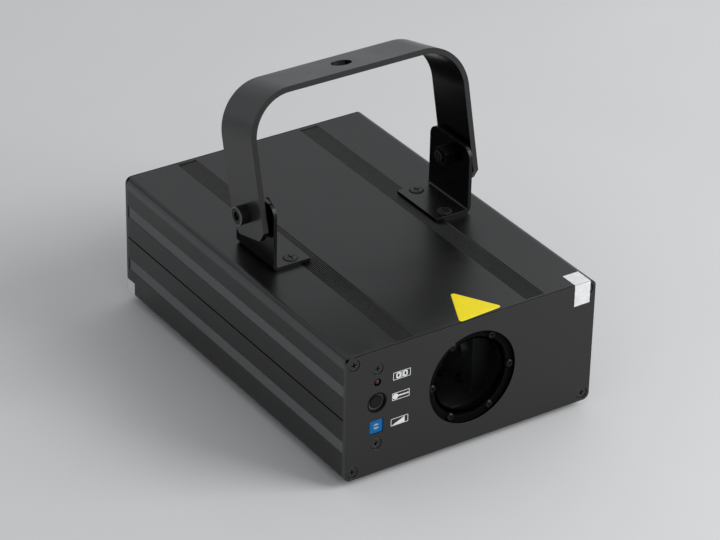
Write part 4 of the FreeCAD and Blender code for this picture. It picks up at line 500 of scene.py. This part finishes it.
white, tree, shader = finish("white_moulding")
trimmer_z, face_y = 0.03098, -0.1091
pore = use(tree, speckle, Scale=2200.0)
centred = around(tree, (column_x, face_y, trimmer_z))
worn_off = span(tree, from_axis(tree, centred, (1.0, 0.0, 1.0)), 0.0013, 0.0018)
slot_shade = span(tree, axes(tree, centred)["Y"], 0.00005, 0.00015)
tone = blend_colours(tree, pore["Tone"], (0.17, 0.28, 0.39, 1), (0.26, 0.37, 0.47, 1))
tone = blend_colours(tree, worn_off, tone, (0.001, 0.11, 0.32, 1))
# Painted shade: the slot dark.
tone = blend_colours(tree, slot_shade, tone, (0.003, 0.006, 0.012, 1))
connect(tree, shader, {"Base Color": tone, "Roughness": span(tree, pore["Tone"], 0, 1, 0.35, 0.5)})
paint(white, "trimmer_screw")

# Brackets and yoke
# Bent steel sheet and flat bar with a satin black powder coat: a fine orange-peel skin. Inner faces are
# dulled towards black as painted shade; the yoke's outer faces are painted lighter as lit.
# Cut edges, and the brackets' outer faces, are dulled as painted shade; the yoke's cut edges are a little
# paler in tone.


def powder_coat(name, outer_tone, outer_shade, edge_tone, edge_shade):
    """A powder coat with painted shade: inner faces dulled towards black, and its own tone and dulling on
    outer faces and cut edges.

    A face is inner or outer as it looks towards the middle of the width or away from it.
    A cut edge looks along the depth."""
    made, tree, shader = finish(name)
    edge = use(tree, soft_edges, Reach=0.0002, Breakup=210.0)
    peel = use(tree, speckle, Scale=1500.0)
    touch = use(tree, handling, Scale=40.0)
    place = add(tree, "TexCoord").outputs
    facing = axes(tree, place["Normal"])
    sideways = times(tree, maths(tree, "SIGN", axes(tree, place["Object"])["X"]), facing["X"])
    inner = span(tree, sideways, -0.6, -0.85)
    outer = span(tree, sideways, 0.6, 0.85)
    sheared = span(tree, maths(tree, "ABSOLUTE", facing["Y"]), 0.55, 0.8)
    # Painted shade: inner faces, and outer faces and cut edges by their shares, dulled towards black by
    # metal.
    dull = maths(tree, "MAXIMUM", times(tree, inner, 0.88), times(tree, outer, outer_shade))
    dull = maths(tree, "MAXIMUM", dull, times(tree, sheared, edge_shade))
    tone = blend_colours(tree, peel["Tone"], (0.0010, 0.0011, 0.0012, 1), (0.0020, 0.0021, 0.0023, 1))
    # Painted light on the yoke's outer faces, by their lighter tone.
    tone = blend_colours(tree, outer, tone, outer_tone)
    tone = blend_colours(tree, sheared, tone, edge_tone)
    tone = blend_colours(tree, times(tree, edge["Wear"], 0.1), tone, (0.060, 0.060, 0.061, 1))
    rough = maths(tree, "ADD", span(tree, touch["Amount"], 0, 1, 0.24, 0.30), times(tree, sheared, 0.15))
    connect(tree, shader, {"Base Color": tone, "Roughness": rough, "Metallic": dull,
                           "Normal": raised(tree, 0.28, 0.00008, peel["Height"], edge["Normal"])})
    return made


bracket_tone = (0.0012, 0.0012, 0.0013, 1)
paint(powder_coat("bracket_coat", bracket_tone, 0.7, bracket_tone, 0.5), "left_bracket", "right_bracket")
yoke_tone, yoke_edge_tone = (0.0165, 0.0166, 0.0169, 1), (0.0045, 0.0045, 0.0047, 1)
paint(powder_coat("yoke_coat", yoke_tone, 0.0, yoke_edge_tone, 0.35), "yoke")

# Signal sockets
# Die-cast panel sockets with square flanges and the same black coat, screwed to the rear plate.
socket_tone = (0.0050, 0.0050, 0.0052, 1)
paint(powder_coat("socket_coat", socket_tone, 0.0, socket_tone, 0.0), "signal_in_socket", "signal_out_socket")

# Fan, inlet and switches
# Moulded in black glass-filled nylon with a fine spark-eroded grain, snapped or screwed into the rear plate.
# The large components on the boards have the same black.
plastic = grained("black_moulding", 2300.0, (0.006, 0.006, 0.0065, 1), (0.011, 0.011, 0.0115, 1),
                  (0.42, 0.55), edges=(0.0003, 400.0), bump=(0.35, 0.00007))
paint(plastic, "fan_frame", "fan_rotor", "mains_inlet", "switch_frame", "switch_rocker", "mode_switch_frame",
      "mode_switch_lever", "power_board_parts", "control_board_parts")

# Rocker marks
# The bar and ring that such a switch carries, printed in white on the two faces of its rocker.


def on_rocker(flat, side):
    """Flat points laid on a rocker face: at rest the upper face leans 18 degrees and the lower is upright."""
    lean = np.radians(18.0 if side > 0 else 0.0)
    ridge_y, ridge_z, ink_gap = 107.856, 22.313, 0.03
    away = flat[..., 1]
    return np.stack([flat[..., 0], ridge_y + ink_gap - side * away * np.sin(lean),
                     ridge_z + away * np.cos(lean)], -1)


on_bar = filled(rectangle(-0.22, 0.22, -5.6, -2.8), 0.12)
off_ring = frame_line([(0.0, 4.1)], 1.15, 0.42)
piece("rocker_marks", [on_rocker(on_bar, -1), on_rocker(off_ring, 1)], (0, 1, 0), white_ink, "switch_rocker")

# Bright wire and pins
# Nickel plate on the fan guard, the contact pins and the release tab.
nickel = grained("nickel_plate", 2800.0, (0.56, 0.54, 0.50, 1), (0.66, 0.64, 0.60, 1), (0.14, 0.26),
                 edges=(0.0002, 700.0), Metallic=1.0)
paint(nickel, "fan_guard", "mains_pins", "signal_in_pins", "signal_out_latch")

# Optics inside
# A milled base and blocks in black, turned steel motors and shafts, brass standoffs and silvered mirrors.
# The laser's barrel and the clamp screws are brass painted dark as shade.
milled, tree, shader = finish("milled_black")
edge = use(tree, soft_edges, Reach=0.0003, Breakup=500.0)
mill = use(tree, drawn_lines, Stretch=(160.0, 2400.0, 2400.0))
tone = blend_colours(tree, mill["Tone"], (0.006, 0.006, 0.0065, 1), (0.012, 0.012, 0.0125, 1))
tone = blend_colours(tree, times(tree, edge["Wear"], 0.5), tone, (0.3, 0.3, 0.3, 1))
connect(tree, shader, {"Base Color": tone, "Roughness": span(tree, mill["Tone"], 0, 1, 0.36, 0.50),
                       "Normal": raised(tree, 0.3, 0.00005, mill["Height"], edge["Normal"])})
paint(milled, "optics_base", "laser_module", "scanner_block")

turned_steel, tree, shader = finish("turned_steel")
edge = use(tree, soft_edges, Reach=0.0003, Breakup=500.0)
lathe = use(tree, drawn_lines, Stretch=(2400.0, 2400.0, 160.0))
tone = blend_colours(tree, lathe["Tone"], (0.045, 0.045, 0.048, 1), (0.075, 0.075, 0.078, 1))
connect(tree, shader, {"Base Color": tone, "Roughness": span(tree, lathe["Tone"], 0, 1, 0.3, 0.42),
                       "Metallic": 1.0, "Normal": edge["Normal"]})
paint(turned_steel, "x_motor", "y_motor", "x_shaft", "y_shaft")

brass = grained("turned_brass", 2600.0, (0.50, 0.33, 0.11, 1), (0.64, 0.44, 0.17, 1), (0.24, 0.38),
                edges=(0.0002, 700.0), Metallic=1.0)
paint(brass, "standoffs")
# Painted shade: a dark copy of the brass for the barrel and clamp screws.
shaded_brass = grained("brass_painted_shade", 2600.0, (0.013, 0.0085, 0.004, 1), (0.020, 0.0135, 0.006, 1), (0.34, 0.48),
                 edges=(0.0002, 700.0), Metallic=1.0)
paint(shaded_brass, "laser_nose", "clamp_screws")
silver = grained("silvered_mirror", 700.0, (0.86, 0.87, 0.88, 1), (0.92, 0.93, 0.93, 1), (0.02, 0.05),
                 Metallic=1.0)
paint(silver, "x_mirror", "y_mirror")

# Circuit boards
# Green solder mask over copper lands on glass laminate; the tracks show as paler lines.
board, tree, shader = finish("solder_mask")
place = add(tree, "TexCoord").outputs["Object"]
cells = add(tree, "TexVoronoi", {"Vector": place, "Scale": 420.0}, feature="DISTANCE_TO_EDGE",
            distance="MANHATTAN")
track = span(tree, cells.outputs["Distance"], 0.05, 0.09)
pore = use(tree, speckle, Scale=2100.0)
green = blend_colours(tree, pore["Tone"], (0.010, 0.070, 0.028, 1), (0.014, 0.085, 0.034, 1))
connect(tree, shader, {"Base Color": blend_colours(tree, track, (0.03, 0.16, 0.06, 1), green),
                       "Roughness": span(tree, pore["Tone"], 0, 1, 0.3, 0.42)})
paint(board, "sound_board", "power_board", "control_board")

# Paper seals
# Plain white paper seals, folded over the housing's edges and across a plate screw: one at the front
# on the right, one at the rear on the left. Soft creased paper, a little grey where it is rubbed.


def folded(first_reach, second_reach, width, start, wobble):
    """A strip bent over an edge: a run along each face from a small arc, across a width.

    Returns the distances from both faces and the place across, each of them a grid."""
    bend = 0.5
    arc = bend * np.pi / 4
    run, across = np.meshgrid(np.linspace(-first_reach, second_reach, 81), np.linspace(0.0, 1.0, 31),
                              indexing="ij")
    turn = np.clip((run + arc) / (2 * arc), 0, 1) * np.pi / 2
    first = bend * (1 - np.sin(turn)) + np.maximum(-run - arc, 0)
    second = bend * (1 - np.cos(turn)) + np.maximum(run - arc, 0)
    ragged = wobble * (np.sin(run * 1.7) + 0.6 * np.sin(run * 4.1 + 1.0)) * (2 * across - 1)
    return first, second, start + width * across + ragged


def rounding(past):
    """How far a surface has fallen a distance past the start of an outer edge's rounding: a circle's drop."""
    edge_radius, furthest = 3.5, 3.4
    return edge_radius - np.sqrt(edge_radius ** 2 - np.clip(past, 0.0, furthest) ** 2)


paper, tree, shader = finish("white_paper")
fibre = use(tree, speckle, Scale=1800.0)
touch = use(tree, handling, Scale=240.0)
tone = blend_colours(tree, fibre["Tone"], (0.64, 0.64, 0.645, 1), (0.76, 0.76, 0.755, 1))
tone = blend_colours(tree, times(tree, touch["Amount"], 0.5), tone, (0.50, 0.50, 0.51, 1))
connect(tree, shader, {"Base Color": tone, "Roughness": span(tree, fibre["Tone"], 0, 1, 0.5, 0.68),
                       "Normal": raised(tree, 0.4, 0.00012, touch["Amount"])})
front_y, rear_y, left_x, top_z = -109.5, 106.5, -75.0, 75.0
right_round_start, low_round_start = 71.5, 7.5
lift, wobble = 0.09, 0.06
back, down, across = folded(10.7, 12.4, 9.6, 61.95, wobble)
fall = rounding(across - right_round_start)
front_strip = np.stack([across, front_y - lift + back, top_z + lift - down - fall], -1)
piece("front_seal", [front_strip], (0, -1, 1), paper, "housing")
inward, forward, across = folded(8.6, 8.0, 8.5, 5.0, wobble)
fall = rounding(low_round_start - across)
rear_strip = np.stack([left_x - lift + inward + fall, rear_y + lift - forward, across], -1)
piece("rear_seal", [rear_strip], (-1, 1, 0), paper, "housing")

# Yellow patch
# A plain three-cornered piece of yellow vinyl with rounded corners, stuck on top behind the front edge.
vinyl, tree, shader = finish("yellow_vinyl")
pore = use(tree, speckle, Scale=2400.0)
touch = use(tree, handling, Scale=150.0)
tone = blend_colours(tree, pore["Tone"], (0.78, 0.63, 0.006, 1), (0.86, 0.71, 0.010, 1))
tone = blend_colours(tree, times(tree, touch["Amount"], 0.25), tone, (0.66, 0.52, 0.008, 1))
connect(tree, shader, {"Base Color": tone, "Roughness": span(tree, pore["Tone"], 0, 1, 0.3, 0.42),
                       "Normal": raised(tree, 0.15, 0.0001, touch["Amount"]), "Specular IOR Level": 0.25})
patch_corners, corner_radius, patch_rings = [(-5.6, -106.9), (16.7, -105.5), (4.5, -85.35)], 1.5, 24
vinyl_gap, vinyl_thickness = 0.02, 0.1
patch = filled(patch_corners, corner_radius, patch_rings)
fall = np.linspace(0.0, 1.0, patch_rings)[:, None] ** 30
patch_height = top_z + vinyl_gap + vinyl_thickness * (1 - fall) + np.zeros(patch.shape[:2])
piece("yellow_patch", [np.concatenate([patch, patch_height[..., None]], -1)], (0, 0, 1), vinyl, "housing")

# Studio
# A pale grey floor sheet, one large soft light at the front right, a weak one behind it, and a pale room.
bpy.ops.mesh.primitive_plane_add(size=8.0, location=(0, 0, 0))
floor = bpy.context.object
floor.name = "studio_floor"
floor_finish, tree, shader = finish("studio_floor")
pore = use(tree, handling, Scale=3.0)
tone = blend_colours(tree, pore["Amount"], (0.565, 0.565, 0.57, 1), (0.585, 0.585, 0.59, 1))
connect(tree, shader, {"Base Color": tone, "Roughness": 0.7})
floor.data.materials.append(floor_finish)

room = bpy.data.worlds.new("studio_room")
bpy.context.scene.world = room
room.use_nodes = True
room.node_tree.nodes["Background"].inputs["Color"].default_value = (0.96, 0.98, 1.0, 1)
room.node_tree.nodes["Background"].inputs["Strength"].default_value = 0.6


def turned_to(spot, back, roll=0.0):
    """The matrix of a lamp or camera at a spot: its back is a unit vector, its level turned by a roll."""
    level = np.cross((0.0, 0.0, 1.0), back)
    level /= np.linalg.norm(level)
    right = np.cos(roll) * level + np.sin(roll) * np.cross(back, level)
    turned = np.eye(4)
    turned[:3, :3] = np.stack([right, np.cross(back, right), back], 1)
    turned[:3, 3] = spot
    return Matrix(turned.tolist())


def soft_light(name, spot, aim, size, power):
    """A square area light at a spot, its face turned to an aim point."""
    light = bpy.data.lights.new(name, "AREA")
    light.size = size
    light.energy = power
    lamp = bpy.data.objects.new(name, light)
    bpy.context.collection.objects.link(lamp)
    back = np.array(spot, float) - np.array(aim, float)
    lamp.matrix_world = turned_to(spot, back / np.linalg.norm(back))


light_aim = (0, 0, 0.05)
soft_light("key_light", (0.95, -1.05, 0.9), light_aim, 1.0, 24.0)
soft_light("fill_light", (1.3, 0.6, 1.0), light_aim, 1.0, 2.0)

# Camera
# A long lens looking down on the front left corner, with the small roll of the photograph.
azimuth, elevation, roll = np.radians((-33.7014, 30.3253, 1.192))
eye = (-0.77939, -1.17433, 0.86926)
back = np.array([np.sin(azimuth) * np.cos(elevation), -np.cos(azimuth) * np.cos(elevation),
                 np.sin(elevation)])
lens = bpy.data.cameras.new("camera")
lens.sensor_width = 36.0
lens.lens = 156.207
lens.shift_x = 0.00257
lens.shift_y = 0.00842
lens.clip_end = 50.0
camera = bpy.data.objects.new("camera", lens)
camera.matrix_world = turned_to(eye, back, roll)
bpy.context.collection.objects.link(camera)
bpy.context.scene.camera = camera
bpy.context.scene.view_settings.view_transform = "Standard"
